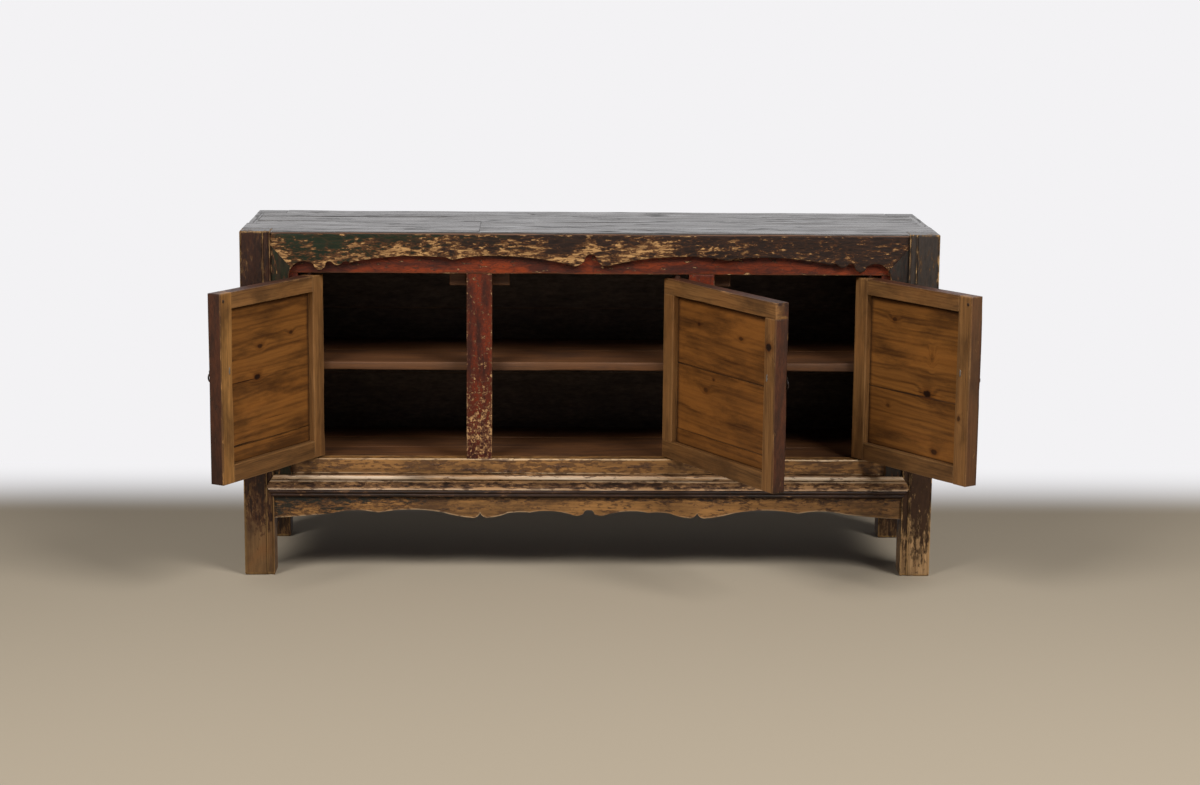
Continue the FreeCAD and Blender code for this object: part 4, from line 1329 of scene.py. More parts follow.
@dataclass
class FrontFrame:
    """Upper rail, jambs, mullions and sill round the three door openings."""

    size: Carcass
    ledge: float = 19.0

    def build(self) -> None:
        """Make the frame. Its back is bare wood, and its front and edges are lacquered red."""
        size = self.size
        inside = (size.frame, size.frame_back)
        rail = beam("upper_front_rail", size.between, inside, (size.opening_top, size.rail_top), LENGTHWISE, BUTTED,
                    (0.6, 0, 0, 1))
        put("upper_front_rail", [rail], Finish.RED_RAIL)
        spans = {
            "jamb_left": mirrored(-1, size.jamb_inner, size.post_inner),
            "mullion_left": mirrored(-1, size.mullion_inner, size.mullion_outer),
            "mullion_right": (size.mullion_inner, size.mullion_outer),
            "jamb_right": (size.jamb_inner, size.post_inner),
        }
        for node, across in spans.items():
            upright = beam(node, (size.opening_foot, size.opening_top), across, inside, UPRIGHT, BUTTED,
                           (1, 0.8, 0, 0.8))
            put(node, [upright], Finish.RED_UPRIGHT)
        sill = beam("sill", size.between, inside, (size.sill_foot, size.opening_foot), LENGTHWISE,
                    replace(BUTTED, arris=1.8, scatter=1.8))
        ledge = beam("sill ledge", size.between, (size.frame_back, size.frame_back + self.ledge),
                     (size.sill_foot, size.floor_foot), LENGTHWISE)
        put("sill", [sill, ledge], Finish.SILL)


@dataclass
class Base:
    """Moulded base rail with pointed ends, let into the front posts."""

    size: Carcass
    projection: float = 2.0
    bead: float = 11.0
    small_bead: float = 8.0
    quirk: float = 1.5
    relief: float = 5.0
    small_relief: float = 3.0
    hollow: float = 2.5

    def build(self) -> None:
        """Carry the outline of a round bead, a hollow band and two small beads along the front."""
        size = self.size
        face = size.front - self.projection
        root = face + self.relief
        lip = face + self.relief / 2
        turn = np.linspace(0, np.pi, 9)

        def bead(top: float, height: float, relief: float) -> Array:
            """Half an ellipse, from the top of the bead to its foot."""
            return np.stack([root - relief * np.sin(turn), top - height / 2 * (1 - np.cos(turn))], -1)

        band_top = size.sill_foot - self.bead - self.quirk
        beads_top = size.base_foot + 2 * self.small_bead + self.quirk
        band_foot = beads_top + self.quirk
        share = np.linspace(-1, 1, 9)
        band = np.stack([lip + self.hollow * (1 - share ** 2),
                         (band_top + band_foot) / 2 - share * (band_top - band_foot) / 2], -1)
        outline = [
            np.array([(size.frame_back, size.base_foot), (size.frame_back, size.sill_foot)]),
            bead(size.sill_foot, self.bead, self.relief), np.array([(root, band_top)]), band,
            np.array([(root, band_foot), (root, beads_top)]),
            bead(beads_top, self.small_bead, self.small_relief),
            bead(beads_top - self.small_bead, self.small_bead, self.small_relief)[1:],
        ]
        crest = [np.full(2, 20.0), 3 - 3 * np.sin(turn), [5], 6 * (1 - share ** 2), [5, 5],
                 9 - 5 * np.sin(turn), (9 - 5 * np.sin(turn))[1:]]
        points = np.concatenate(outline)
        section = Section.moulded(points, np.concatenate(crest), np.ones(len(points)))
        middle = (size.sill_foot + size.base_foot) / 2
        slope = 1 - np.abs(points[:, 1] - middle) / (size.sill_foot - middle)
        reach = size.post_inner + np.where(points[:, 0] < size.front + size.housing, size.shoulder * slope, 0)
        rail = carry(section, (-reach, reach), LENGTHWISE, FLUSH, "base_rail")
        put("base_rail", [rail], Finish.BASE)


# Shares of a plate's width at the points of a ring, up its front and down its back, with three for each arris.
PLATE_FRONT = np.array([0, 0, 0, 0.05, 0.12, 0.2, 0.3, 0.42, 0.56, 0.7, 0.84, 0.95, 1, 1, 1])
PLATE_SHARE = np.concatenate([PLATE_FRONT, PLATE_FRONT[::-1]])


def plate(along: Array, low: Array, high: Array, faces: Pair, placing: Placing, name: str,
          radius: float = 1.2, wave: float = 0.35) -> Shell:
    """A thin plate between two edges that may wander: rows of shares from the low to the high edge.

    Args:
        along: Place along the grain, by ring and by point of the ring.
        low: Low edge, alike.
        high: High edge, alike.
        faces: Front and back face.
        placing: Axes of the plate.
        name: Name that fixes its noise.
        radius: Arris radius.
        wave: Depth of the hollows on its front.

    Returns:
        The shell, with the rise of each point above its low edge.
    """
    seed = seed_of(name)
    half = len(PLATE_FRONT)
    lift, sunk = np.zeros((2, half))
    lift[:3] = radius * np.array([0, 0.3, 1])
    sunk[:3] = radius * np.array([1, 0.3, 0])
    lift[-3:] = -lift[2::-1]
    sunk[-3:] = sunk[2::-1]
    lift = np.concatenate([lift, lift[::-1]])
    depth = np.concatenate([faces[0] + sunk, (faces[1] - sunk)[::-1]])
    width = high - low
    place = low + PLATE_SHARE * width + lift
    rise = place - low
    local = np.stack([along, place, np.broadcast_to(depth, place.shape)], -1)
    front = np.arange(2 * half) < half
    local[..., 2] += np.where(front, wave * ripple(local * DRAWN_OUT, PLATE_WAVE, seed), 0)
    values = {
        "grain": local * MM + sawn_at(seed + 2), "place": local * MM, "rise": rise,
        "arris": np.minimum(rise, width - rise), "coat": np.broadcast_to(front.astype(float), rise.shape).copy(),
    }
    return closed(placing.row(local * MM), values, True)


@dataclass
class Aprons:
    """Scalloped apron under the top with its mitred side strips, and the scalloped apron below."""

    size: Carcass
    thickness: float = 14.0
    drop: float = 88.0
    mitre_drop: float = 33.0
    mitre_rise: float = 43.5
    lower_setback: float = 8.0
    lower_drop: float = 50.0
    upper_shares: tuple = (
        (0.0, 0.557), (0.013, 0.590), (0.019, 0.693), (0.036, 0.835), (0.075, 0.824), (0.166, 0.693),
        (0.297, 0.614), (0.384, 0.630), (0.460, 0.727), (0.472, 0.680), (0.490, 0.657), (0.630, 0.635),
        (0.797, 0.807), (0.807, 0.780), (0.820, 0.806), (0.838, 0.880), (0.854, 0.812), (0.864, 0.778),
        (0.877, 0.841), (0.899, 1.000), (0.916, 0.858), (0.952, 0.778), (1.000, 1.165))
    lower_shares: tuple = (
        (0.0, 0.62), (0.013, 0.66), (0.017, 0.79), (0.033, 0.87), (0.055, 0.83), (0.085, 0.72), (0.126, 0.65),
        (0.159, 0.66), (0.189, 0.73), (0.226, 0.71), (0.260, 0.76), (0.290, 0.91), (0.318, 0.97), (0.337, 0.93),
        (0.347, 0.74), (0.356, 0.93), (0.378, 0.98), (0.419, 0.90), (0.463, 0.74), (0.562, 0.60), (0.671, 0.75),
        (0.747, 0.64), (0.822, 0.79), (0.904, 0.91), (1.000, 1.00))

    def scallops(self, shares: tuple, half: float, top: float, drop: float) -> Array:
        """Half of a scalloped edge from the middle outwards: circles through each three points.

        Args:
            shares: Shares of the half length and of the drop: an end, a point between, an end.
            half: Half length of the edge.
            top: Height that the drop is taken from.
            drop: Greatest drop.

        Returns:
            Points of the edge, as place and height.
        """
        knots = np.array(shares) * (half, -drop) + (0, top)
        first, between, last = knots[:-2:2], knots[1:-1:2], knots[2::2]
        side_a, side_b = between - first, last - first
        cross = 2 * (side_a[:, 0] * side_b[:, 1] - side_a[:, 1] * side_b[:, 0])
        flat = np.abs(cross) < 1e-6
        cross = np.where(flat, 1.0, cross)
        aa, bb = (side_a ** 2).sum(1), (side_b ** 2).sum(1)
        middle = np.stack([side_b[:, 1] * aa - side_a[:, 1] * bb, side_a[:, 0] * bb - side_b[:, 0] * aa], -1)
        middle = middle / cross[:, None]
        ways = [np.arctan2(p[:, 1], p[:, 0]) for p in (-middle, side_a - middle, side_b - middle)]
        bow = np.unwrap(np.stack(ways, -1), axis=1)
        share = np.linspace(0, 1, 9)[1:]
        angle = bow[:, :1] + share * (bow[:, 2:] - bow[:, :1])
        radius = np.sqrt((middle ** 2).sum(1))[:, None]
        arc = np.stack([np.cos(angle) * radius, np.sin(angle) * radius], -1) + middle[:, None]
        line = share[:, None] * side_b[:, None]
        run = np.where(flat[:, None, None], line, arc) + first[:, None]
        return np.concatenate([knots[:1], run.reshape(-1, 2)])

    def build(self) -> None:
        """Make both aprons and the side strips."""
        size = self.size
        top = size.top - size.lip
        edge = self.scallops(self.upper_shares, size.strip_inner, size.top, self.drop)
        slope = self.mitre_rise / (size.post_inner - size.strip_inner)
        corner = size.top - self.mitre_drop
        mitre = corner - (size.post_inner - edge[:, 0]) * slope
        under = (edge[:, 1] < mitre) & (edge[:, 0] > 0.9 * size.strip_inner)
        first = int(np.argmax(under))
        gap = (edge[first - 1:first + 1, 1] - mitre[first - 1:first + 1])
        share = gap[0] / (gap[0] - gap[1])
        meet = edge[first - 1] + share * (edge[first] - edge[first - 1])
        half = np.concatenate([edge[:first], [meet], [(size.post_inner, corner)]])
        run = np.concatenate([half[:0:-1] * (-1, 1), half])
        count = len(PLATE_SHARE)
        wide = np.ones(count)
        faces = (size.apron, size.apron + self.thickness)
        apron = plate(run[:, :1] * wide, run[:, 1:] * wide, np.full((len(run), count), top), faces, ON_EDGE,
                      "upper_apron")
        put("upper_apron", [apron], Finish.APRON)
        tail = edge[first:][::-1]
        high = meet[1] + PLATE_SHARE * (corner - meet[1])
        stations = np.concatenate([np.linspace(0, 0.94, 22), np.linspace(0.95, 1, 14)])
        for side, name in SIDES:
            node = "apron_side_" + name
            along = size.sill_foot + stations[:, None] * (high - size.sill_foot)
            low = np.interp(along, np.append(tail[:, 1], meet[1]), np.append(tail[:, 0], meet[0]))
            upright = Placing((0, 0, 1), (side, 0, 0), (0, 1, 0))
            strip = plate(along, low, np.full(along.shape, size.post_inner), faces, upright, node)
            put(node, [strip], Finish["STRIP_" + name.upper()])
        lower = self.scallops(self.lower_shares, size.post_inner, size.base_foot, self.lower_drop)
        run = np.concatenate([lower[:0:-1] * (-1, 1), lower])
        faces = (size.front + self.lower_setback, size.front + self.lower_setback + self.thickness)
        apron = plate(run[:, :1] * wide, run[:, 1:] * wide, np.full((len(run), count), size.base_foot), faces,
                      ON_EDGE, "lower_apron", radius=1.6)
        put("lower_apron", [apron], Finish.LOWER)


@dataclass
class Walls:
    """Side and back rails, with the panels and boards that float between them."""

    size: Carcass
    rail_height: float = 60.0
    side_faces: Pair = (760.0, 796.0)
    panel_faces: Pair = (772.0, 784.0)
    back_faces: Pair = (174.0, 210.0)
    board_faces: Pair = (186.0, 198.0)
    boards: int = 3
    reach: float = 7.0
    lap: float = 1.0

    def build(self) -> None:
        """Make the walls: lacquered outside, bare inside."""
        size = self.size
        levels = {
            "upper": (size.rail_top - self.rail_height, size.rail_top),
            "lower": (size.base_foot, size.floor_foot),
        }
        for level, height in levels.items():
            node = level + "_back_rail"
            rail = beam(node, size.between, self.back_faces, height, LENGTHWISE, BUTTED, (1, 1, 1, 0))
            put(node, [rail], Finish.WALL)
            for side, name in SIDES:
                node = "%s_side_rail_%s" % (level, name)
                rail = beam(node, (size.post_back, size.back_post), mirrored(side, *self.side_faces), height,
                            FRONT_TO_BACK, BUTTED, (1, side > 0, 1, side < 0))
                put(node, [rail], Finish.WALL)
        foot, head = size.floor_foot - self.reach, levels["upper"][0] + self.reach
        lying = Placing((0, 1, 0), (0, 0, 1), (1, 0, 0))
        floating = Wear(wave=0.4)
        for side, name in SIDES:
            node = "side_panel_" + name
            panel = beam(node, (size.post_back - self.reach, size.back_post + self.reach), (foot, head),
                         mirrored(side, *self.panel_faces), lying, floating, (side < 0, 0, side > 0, 0))
            put(node, [panel], Finish.WALL)
        step = (head - foot) / self.boards
        boards = [beam("back board %d" % i, (-size.post_inner - self.reach, size.post_inner + self.reach),
                       (foot + i * step, min(head, foot + (i + 1) * step + self.lap)), self.board_faces, ON_EDGE,
                       floating, (1, 0, 0, 0)) for i in range(self.boards)]
        put("back_boards", boards, Finish.BACK)


@dataclass
class Inside:
    """Floor boards, shelf with its cleats and bearers, and the door stops."""

    size: Carcass
    side: float = 771.0
    back: float = 185.8
    shelf_front: float = -148.2
    shelf: Pair = (475.0, 494.0)
    cleat: Pair = (445.0, 475.0)
    cleat_width: Pair = (750.0, 772.0)
    bearer_width: Pair = (240.25, 270.25)
    bearer_back: float = 186.0
    stop_length: float = 40.0
    stop_depth: float = 18.0
    stop: Pair = (676.0, 738.0)
    rim: float = 4.0
    pitch: float = 14.0
    notch: float = 0.1
    gap: float = 0.4

    def board(self, name: str, across: Pair, height: Pair, wear: Wear) -> Shell:
        """A board from side to side, notched where it meets the posts.

        Args:
            name: Name that fixes its noise.
            across: Front and back edge.
            height: Lower and upper face.
            wear: Its wear.

        Returns:
            The shell, whose ends step in at the posts.
        """
        size, rim = self.size, self.rim
        steps = [spot for post in (size.post_back + size.slack, size.back_post - size.slack)
                 for spot in (post - self.notch, post + self.notch) if across[0] + rim < spot < across[1] - rim]
        inner = np.arange(across[0] + 2 * rim, across[1] - rim, self.pitch)
        spots = np.union1d(np.concatenate([[across[0], across[0] + rim, across[1] - rim, across[1]], inner]), steps)
        section = Section.slab(spots, height[1], np.full(len(spots), height[0]), (1, 1))
        end = np.where(size.at_post(section.base[:, 0]), size.post_inner - size.slack, self.side)
        return carry(section, (-end, end), LENGTHWISE, wear, name)

    def build(self) -> None:
        """Make the inside pieces."""
        size = self.size
        wear = replace(FLUSH, wave=0.4)
        front = size.frame_back + size.slack
        step = (self.back - front) / 3
        floor = [self.board("floor board %d" % i, (front + i * step, front + (i + 1) * step - self.gap),
                            (size.floor_foot, size.floor_top), wear) for i in range(3)]
        put("floor_boards", floor, Finish.SHELF)
        step = (self.back - self.shelf_front) / 2
        rubbed = replace(wear, arris=1.8, scatter=1.6)
        for i, node in enumerate(("shelf_front_board", "shelf_back_board")):
            across = (self.shelf_front + i * step, self.shelf_front + (i + 1) * step - self.gap)
            put(node, [self.board(node, across, self.shelf, rubbed)], Finish.SHELF)
        cleats = [beam("cleat %d" % side, (size.post_back, size.back_post), mirrored(side, *self.cleat_width),
                       self.cleat, FRONT_TO_BACK) for side, _ in SIDES]
        put("shelf_cleats", cleats, Finish.INSIDE)
        bearers = [beam("bearer %d" % side, (size.frame_back, self.bearer_back), mirrored(side, *self.bearer_width),
                        self.cleat, FRONT_TO_BACK) for side, _ in SIDES]
        put("shelf_bearers", bearers, Finish.INSIDE)
        starts = (-size.mullion_outer - self.stop_length, -size.mullion_inner, size.mullion_outer)
        stops = [beam("stop %d" % i, (x, x + self.stop_length), (size.frame_back, size.frame_back + self.stop_depth),
                      self.stop, LENGTHWISE) for i, x in enumerate(starts)]
        put("door_stops", stops, Finish.SHELF)


@dataclass
class Top:
    """Boards of the top, notched round the posts, with a thin lip over the apron."""

    size: Carcass
    seams: Pair = (0.0, 89.87)
    strip_start: float = -49.88
    strip_width: float = 20.0
    joint: float = -255.25
    rim: float = 4.0
    pitch: float = 15.0
    notch: float = 0.15
    gap: float = 0.4

    def reach(self, place: Array) -> Array:
        """Half length of the top: less at the posts and at the end strips.

        Args:
            place: Places across the top.

        Returns:
            The half length at each place.
        """
        size = self.size
        at_strip = place > self.strip_start - size.slack
        strip = np.where(at_strip, size.half - self.strip_width - size.slack, size.half)
        return np.where(size.at_post(place), size.post_inner - size.slack, strip)

    def build(self) -> None:
        """Make the boards and the end strips."""
        size = self.size
        slack, rim = size.slack, self.rim
        steps = np.array([size.post_back + slack, self.strip_start - slack, size.back_post - slack,
                          size.frame + slack])
        spans = {
            "top_front_board_left": (size.apron, self.seams[0] - self.gap, None, self.joint - self.gap),
            "top_front_board_right": (size.apron, self.seams[0] - self.gap, self.joint, None),
            "top_middle_board": (self.seams[0], self.seams[1] - self.gap, None, None),
            "top_back_board": (self.seams[1], size.back, None, None),
        }
        wear = Wear(arris=1.6, scatter=1.6, end=0.7, far_end=0.7, wave=0.5, worn_ends=False)
        for node, (y0, y1, x0, x1) in spans.items():
            inner = np.concatenate([np.arange(y0 + 9, y1 - rim, self.pitch), steps - self.notch, steps + self.notch])
            inner = inner[(inner > y0 + rim + 0.5) & (inner < y1 - rim - 0.5)]
            spots = np.union1d(inner, [y0, y0 + rim, y1 - rim, y1])
            foots = np.where(spots < size.frame + slack, size.top - size.lip, size.rail_top)
            section = Section.slab(spots, size.top, foots, (1, 0))
            reach = self.reach(section.base[:, 0])
            ends = (-reach if x0 is None else x0, reach if x1 is None else x1)
            put(node, [carry(section, ends, LENGTHWISE, wear, node)], Finish.TOP)
        strips = [beam("end strip %d" % side, (self.strip_start, size.back_post - slack),
                       mirrored(side, size.half - self.strip_width, size.half), (size.rail_top, size.top),
                       FRONT_TO_BACK, wear) for side, _ in SIDES]
        put("top_end_strips", strips, Finish.TOP)


@dataclass
class DoorLeaf:
    """A framed door on wooden pivots, open as in the photograph."""

    name: str
    width: float
    height: float
    pivot: float
    side: int
    turn: float
    seams: tuple[float, ...]
    panel_wood: BareWood
    free_wood: BareWood = FRAME_PINE
    edge_coat: float = 1.0
    through: bool = False
    stile: float = 40.0
    top_rail: float = 36.0
    bottom_rail: float = 40.0
    hinge: float = -23.0
    outer: float = -12.0
    inner: float = 22.0
    panel: Pair = (-4.0, 8.0)
    groove: float = 8.0
    reach: float = 7.0
    gap: float = 0.4
    foot: float = 277.5
    pivot_depth: float = -182.0
    pin: float = 8.0
    pin_chamfer: float = 1.5
    pin_root: float = 4.0
    pin_ends: Pair = (-12.5, 446.5)
    peg: Pair = (11.0, 17.0)
    peg_dome: tuple = ((4, -34), (4, 0), (3.2, 0.5), (1.5, 0.7), (0.2, 0.75))
    axes: dict = field(init=False)
    level: Placing = field(init=False)
    upright: Placing = field(init=False)

    def __post_init__(self) -> None:
        """Work out the door's own axes in the row frame."""
        angle = math.radians(self.side * self.turn)
        along = np.array([math.cos(angle), math.sin(angle), 0]) * -self.side
        out = np.array([-math.sin(angle), math.cos(angle), 0])
        origin = tuple(np.array([self.pivot, self.pivot_depth, self.foot]) * MM)
        self.axes = {"along": along, "up": np.array([0.0, 0.0, 1.0]), "in": out, "origin": np.array(origin)}
        self.level = Placing(tuple(along), (0, 0, 1), tuple(out), origin)
        self.upright = Placing((0, 0, 1), tuple(along), tuple(out), origin)

    def at(self, x: float, y: float, z: float) -> Array:
        """A point of the row frame, from the door's own millimetres."""
        axes = self.axes
        return axes["origin"] + (axes["along"] * x + axes["in"] * y + axes["up"] * z) * MM

    def pivots(self) -> list[Shell]:
        """Turn the round pivots at the foot and the head of the hinge stile.

        Returns:
            A shell for each.
        """
        shells = []
        small, cut = self.pin - self.pin_chamfer, self.pin_chamfer
        for low, high in ((self.pin_ends[0], self.pin_root), (self.height - self.pin_root, self.pin_ends[1])):
            profile = np.array([(small, low), (self.pin, low + cut), (self.pin, high - cut), (small, high)]) * MM
            pin = turned(profile, 24, self.axes["origin"], self.axes["up"], self.axes["along"])
            # The pins take the door's dark lacquer all over, as painted shade for the dark gaps above and below the
            # door.
            shells.append(replace(pin, values={"coat": np.ones((len(pin.points), 1))}))
        return shells

    def recessed(self, board: Shell) -> Shell:
        """A panel board with its distance from the frame in mm, shortened under the top rail, where grime and a painted
        shadow lie.

        Args:
            board: The board, with its places along and above the door's own corner.

        Returns:
            The board with the distance as a value.
        """
        along, height = (board.values["place"][:, :2] / MM).T
        free = self.hinge + self.width - self.stile
        gaps = [along - self.hinge - self.stile, free - along, (self.height - self.top_rail - height) * 0.7,
                (height - self.bottom_rail) * 2.5]
        return replace(board, values={**board.values, "recess": np.minimum.reduce(gaps)[:, None]})

    def build(self) -> None:
        """Make the stiles, rails, panel boards and peg of the door."""
        free = self.hinge + self.width
        inner_free = free - self.stile
        inner_hinge = self.hinge + self.stile
        head = self.height - self.top_rail
        faces = (self.outer, self.inner)
        outside = (1, 0, 0, 0)
        wear = Wear(arris=1.0, scatter=1.2, end=0.7, far_end=0.7, wave=0.22, step=18.0)
        body = "door_" + self.name
        stile_span = (self.bottom_rail, head) if self.through else (0, self.height)
        hinge = beam(body + " hinge", stile_span, (self.hinge, inner_hinge), faces, self.upright, wear, outside,
                     (9, 0, 0, 0))
        free_span = (0, head) if self.through else (0, self.height)
        loose = beam(body + " free", free_span, (inner_free, free), faces, self.upright, wear,
                     (1, self.edge_coat, 0, 0))
        rail_start = self.hinge if self.through else inner_hinge
        top = beam(body + " top", (rail_start, free if self.through else inner_free), (head, self.height), faces,
                   self.level, wear, (1, 1, 0, 0))
        bottom = beam(body + " bottom", (rail_start, inner_free), (0, self.bottom_rail), faces, self.level, wear,
                      outside)
        free_wood = door_lacquer("lacquer outside, %s stile" % self.name, self.free_wood)
        put(body + "_hinge_stile", [hinge] + self.pivots(), Finish.FRAME, body)
        put(body + "_free_stile", [loose], free_wood, body)
        put(body + "_top_rail", [top], Finish.FRAME, body)
        put(body + "_bottom_rail", [bottom], Finish.FOOT, body)
        foot, crown = self.bottom_rail - self.groove, head + self.reach
        bounds = [foot] + [crown - share * (crown - foot) for share in reversed(self.seams)] + [crown + self.gap]
        boards = [beam("%s board %d" % (body, i), (inner_hinge - self.reach, inner_free + self.reach),
                       (low, high - self.gap), self.panel, self.level, Wear(arris=0.7, scatter=0.5, wave=0.35),
                       outside) for i, (low, high) in enumerate(zip(bounds, bounds[1:]))]
        pine = door_lacquer("lacquer outside, %s panel" % self.name, self.panel_wood)
        put(body + "_panel", [self.recessed(board) for board in boards], pine, body)
        if not self.through:
            middle = self.at(free - self.peg[0], self.inner, self.height - self.peg[1])
            peg = turned(np.array(self.peg_dome) * MM, 20, middle, self.axes["in"], self.axes["along"])
            put(body + "_peg", [peg], Finish.PEG, body)


@dataclass
class RingPull:
    """Iron plate, split pin with an eye and clinched tails, and the ring that hangs in the eye."""

    door: DoorLeaf
    inset: float = 28.0
    height: float = 0.59 * 424.5
    shank: float = 4.2
    eye: float = 4.7
    eye_wire: float = 3.0
    reach: float = 16.0
    sag: float = 5.5
    ring: float = 10.2
    wire: float = 3.6
    drop: float = 1.1
    tails: Pair = (10.0, 6.0)
    tail_half: float = 2.0
    tail_thick: float = 1.2
    tail_bow: float = 0.5
    plate: tuple = ((2.4, 0), (2.4, 1.3), (3.4, 1.9), (6.5, 2.1), (9.2, 1.6), (10.6, 1.0), (11, 0.5), (11, 0))

    def build(self) -> None:
        """Make the plate, the pin and the ring."""
        door = self.door
        x, z = door.hinge + door.width - self.inset, self.height
        axes, face = door.axes, door.outer
        disc = turned(np.array(self.plate) * MM, 40, door.at(x, face, z), -axes["in"], axes["along"])
        eye_y, eye_z = face - self.reach, z - self.sag
        path = np.array([(x, door.inner, z), (x, face - 1, z), (x, face - 3.2, z - 0.2),
                         (x, face - 5.5, z - 1.6), (x, eye_y + self.eye, eye_z)])
        path = np.array([door.at(*point) for point in path])
        bar = tube(path, np.full(len(path), self.shank / 2 * MM), axes["along"])
        angle = np.linspace(0, 2 * np.pi, 40, endpoint=False)
        circle = door.at(x, eye_y, eye_z) + self.eye * MM * (
            np.cos(angle)[:, None] * axes["in"] + np.sin(angle)[:, None] * axes["up"])
        eye = tube(circle, np.full(40, self.eye_wire / 2 * MM), axes["along"], loop=True)
        put("door_%s_pull" % door.name, [disc, bar, eye, self.tail(x, z, 1), self.tail(x, z, -1)], Finish.IRON,
            "door_" + door.name, "iron")
        middle = door.at(x, eye_y, eye_z - self.drop - self.ring)
        circle = middle + self.ring * MM * (
            np.cos(angle)[:, None] * axes["along"] + np.sin(angle)[:, None] * axes["up"])
        beaten = self.wire / 2 * MM * (1 + 0.05 * ripple(circle, 0.012, seed_of(door.name)))
        ring = tube(circle, np.minimum(beaten, self.wire / 2 * MM), axes["in"], loop=True)
        put("door_%s_ring" % door.name, [ring], Finish.IRON, "ring_" + door.name, "iron")

    def tail(self, x: float, z: float, way: int) -> Shell:
        """Clinched tail of the pin: a flat bar that narrows to a point and bows off the wood by half a sine.

        Args:
            x: Place along the door, in its own millimetres.
            z: Height on the door.
            way: 1 for the tail that points up, -1 for the shorter one below.

        Returns:
            The shell.
        """
        door = self.door
        share = np.linspace(0, 1, 9)
        length = self.tails[0 if way > 0 else 1]
        width = self.tail_half * np.sqrt(np.clip(1 - share ** 3, 0.02, 1))
        lift = self.tail_bow * np.sin(share * np.pi)
        ring = np.array([(-1, 0.05), (-0.8, 1), (0.8, 1), (1, 0.05)])
        local = np.stack([
            x + ring[None, :, 0] * width[:, None],
            door.inner + lift[:, None] + ring[None, :, 1] * self.tail_thick * (1 - 0.4 * share[:, None]),
            np.repeat(z + way * share[:, None] * length, 4, 1)], -1)
        net = door.axes["origin"] + MM * (
            local[..., :1] * door.axes["along"] + local[..., 1:2] * door.axes["in"] + local[..., 2:] * door.axes["up"])
        return closed(net, {"coat": np.ones(net.shape[:2])}, True)


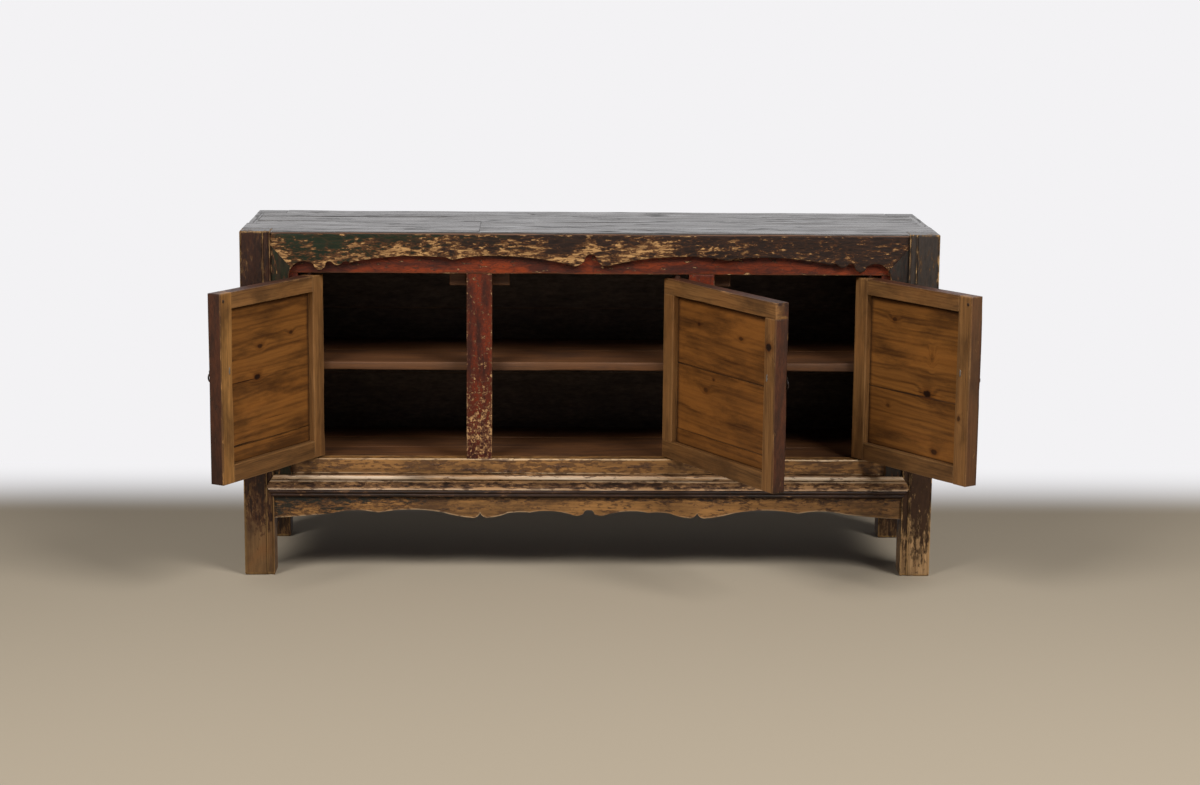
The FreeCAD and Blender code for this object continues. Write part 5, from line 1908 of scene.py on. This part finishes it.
@dataclass
class Studio:
    """Plain pale floor that fades to white, soft light, and the camera of the photograph."""

    place: Triple = (-0.1301, -5.7871, 1.4845)
    yaw: float = 1.578
    pitch: float = 10.654
    roll: float = 0.524
    focal: float = 2458.6
    frame_width: float = 1200.0
    sensor: float = 36.0
    floor_tone: str = "#9b8f7d"
    far_tone: str = "#f3f2f4"
    fade_behind: Pair = (0.4, 1.0)
    fade_around: Pair = (2.6, 6.5)
    boxes: tuple = (("left soft box", (-2.1, -2.8, 3.4), 158.0), ("right soft box", (2.2, -2.8, 3.4), 190.0))
    box_size: float = 1.8
    aim: Triple = (0.0, -0.1, 0.4)
    floor_half: float = 60.0

    def camera(self) -> None:
        """Set the camera: yaw, pitch down and roll give its three axes, and the focal length its lens."""
        yaw, pitch, roll = (math.radians(a) for a in (self.yaw, self.pitch, self.roll))
        ahead = np.array([math.cos(pitch) * math.sin(yaw), math.cos(pitch) * math.cos(yaw), -math.sin(pitch)])
        right = np.array([math.cos(yaw), -math.sin(yaw), 0])
        rise = np.cross(right, ahead)
        turned_right = math.cos(roll) * right + math.sin(roll) * rise
        turned_up = math.cos(roll) * rise - math.sin(roll) * right
        lens = bpy.data.cameras.new("photograph")
        lens.sensor_fit = "HORIZONTAL"
        lens.sensor_width = self.sensor
        lens.lens = self.focal / self.frame_width * self.sensor
        camera = enter("photograph", lens)
        turn = np.eye(4)
        turn[:3, :3] = np.stack([turned_right, turned_up, -ahead], -1)
        turn[:3, 3] = self.place
        camera.matrix_world = Matrix(turn.tolist())
        bpy.context.scene.camera = camera

    def floor(self) -> None:
        """Lay a wide floor whose tone fades to white close behind the cabinet and far in front of it."""
        made, tree, shader = blank("studio floor")
        spot = add(tree, COORDS, out="Object")
        depth = add(tree, SPLIT, {0: spot}, out="Y")
        behind = add(tree, RANGE, {0: depth, 1: self.fade_behind[0], 2: self.fade_behind[1], 3: 0.0, 4: 1.0}, **SOFT)
        away = add(tree, VECTOR, {0: spot}, out="Value", operation="LENGTH")
        around = add(tree, RANGE, {0: away, 1: self.fade_around[0], 2: self.fade_around[1], 3: 0.0, 4: 1.0}, **SOFT)
        far = add(tree, MATH, {0: behind, 1: around}, operation="MAXIMUM")
        colour = add(tree, MIX, {0: far, 6: linear(self.floor_tone), 7: linear(self.far_tone)}, **TINT)
        tree.links.new(colour, shader.inputs["Base Color"])
        shader.inputs["Roughness"].default_value = 0.8
        shader.inputs["Specular IOR Level"].default_value = 0.12
        rays = add(tree, RAYS).node.outputs
        seen = add(tree, MATH, {0: rays["Is Camera Ray"], 1: rays["Is Glossy Ray"]}, operation="MAXIMUM")
        white = add(tree, MATH, {0: seen, 1: far}, operation="MULTIPLY")
        glow = add(tree, "ShaderNodeEmission", {0: linear(self.far_tone)})
        mixed = add(tree, "ShaderNodeMixShader", {0: white, 1: shader.outputs[0], 2: glow})
        tree.links.new(mixed, tree.nodes["Material Output"].inputs[0])
        mesh = bpy.data.meshes.new("floor")
        half = self.floor_half
        mesh.from_pydata([(-half, -half, 0), (half, -half, 0), (half, half, 0), (-half, half, 0)], [], [(0, 1, 2, 3)])
        mesh.materials.append(made)
        enter("floor", mesh)

    def light(self) -> None:
        """Hang a large soft box above on the left and on the right, and set a pale world."""
        for name, place, power in self.boxes:
            lamp = bpy.data.lights.new(name, "AREA")
            lamp.size = self.box_size
            lamp.energy = power
            hung = enter(name, lamp)
            hung.location = place
            hung.rotation_euler = (Vector(self.aim) - Vector(place)).to_track_quat("-Z", "Y").to_euler()
        world = bpy.data.worlds.new("studio")
        world.use_nodes = True
        tree = world.node_tree
        rays = add(tree, RAYS).node.outputs
        way = add(tree, SPLIT, {0: add(tree, COORDS, out="Generated")}).node.outputs
        # The white backdrop lights the back from low down, so that the floor keeps its shade, and the room is dim.
        wall = add(tree, RANGE, {0: way["Y"], 1: -0.1, 2: 0.4, 3: 0.0, 4: 1.0})
        high = add(tree, RANGE, {0: way["Z"], 1: 0.05, 2: 0.5, 3: 0.01, 4: 0.1})
        low = add(tree, RANGE, {0: way["Z"], 1: 0.0, 2: 0.2, 3: 1.4, 4: 0.02})
        lit = add(tree, MIX, {0: wall, 2: high, 3: low}, data_type="FLOAT")
        reflected = add(tree, RANGE, {0: wall, 1: 0.0, 2: 1.0, 3: 0.15, 4: 1.0})
        bounced = add(tree, MATH, {0: rays["Is Glossy Ray"], 1: rays["Is Transmission Ray"]}, operation="MAXIMUM")
        power = add(tree, MIX, {0: bounced, 2: lit, 3: reflected}, data_type="FLOAT")
        power = add(tree, MATH, {0: power, 1: rays["Is Camera Ray"]}, operation="MAXIMUM")
        tree.links.new(power, tree.nodes["Background"].inputs["Strength"])
        tree.nodes["Background"].inputs["Color"].default_value = linear(self.far_tone)
        bpy.context.scene.world = world
        bpy.context.scene.view_settings.view_transform = "Standard"

    def build(self) -> None:
        """Set up the studio."""
        self.camera()
        self.floor()
        self.light()


def make_doors() -> list[DoorLeaf]:
    """Describe the three doors with their seams and knots.

    Returns:
        The left, the middle and the right door.
    """
    left = (Knot(200, 288, 9, 5, 0.8), Knot(84, 303, 7, 4.5, 0.7), Knot(213, 220, 11, 6), Knot(262, 217, 46, 1.0),
            Knot(150, 120, 36, 0.8, 0.5), Knot(120, 68, 50, 0.8, 0.6))
    middle = (Knot(104, 329, 6, 4, 0.7), Knot(274, 320, 8, 4.5, 0.7), Knot(137, 182, 9, 6, 0.6),
              Knot(168, 210, 5, 3, 0.6), Knot(230, 262, 50, 0.8, 0.5), Knot(280, 120, 40, 0.8, 0.5))
    right = (Knot(98, 341, 8, 5, 0.7), Knot(224, 270, 5, 11, 0.3), Knot(212, 186, 13, 8), Knot(212, 186, 30, 1.1, 0.8),
             Knot(83, 139, 6, 4, 0.6), Knot(241, 57, 10, 6, 0.8))
    return [
        DoorLeaf("left", 381.5, 424.5, -645.0, -1, 120.7, (0.88,), panel_pine("left", left), PALER_STILE_PINE),
        DoorLeaf("middle", 448.0, 420.5, 201.0, 1, 119.5, (0.455, 0.885), panel_pine("middle", middle, "#75491f"),
                 KNOTTED_PINE, through=True),
        DoorLeaf("right", 381.5, 424.5, 645.0, 1, 124.0, (0.6,), panel_pine("right", right), DOTTED_PINE, 0.55),
    ]


def main() -> None:
    """Build the studio and the cabinet."""
    logging.basicConfig(level=logging.INFO, format="%(name)s: %(message)s")
    size = Carcass()
    doors = make_doors()
    parts = [Studio(), Posts(size), FrontFrame(size), Base(size), Aprons(size), Walls(size), Inside(size), Top(size)]
    for part in parts + doors + [RingPull(door) for door in doors]:
        LOG.info("building %s", type(part).__name__)
        part.build()


if __name__ == "__main__":
    main()
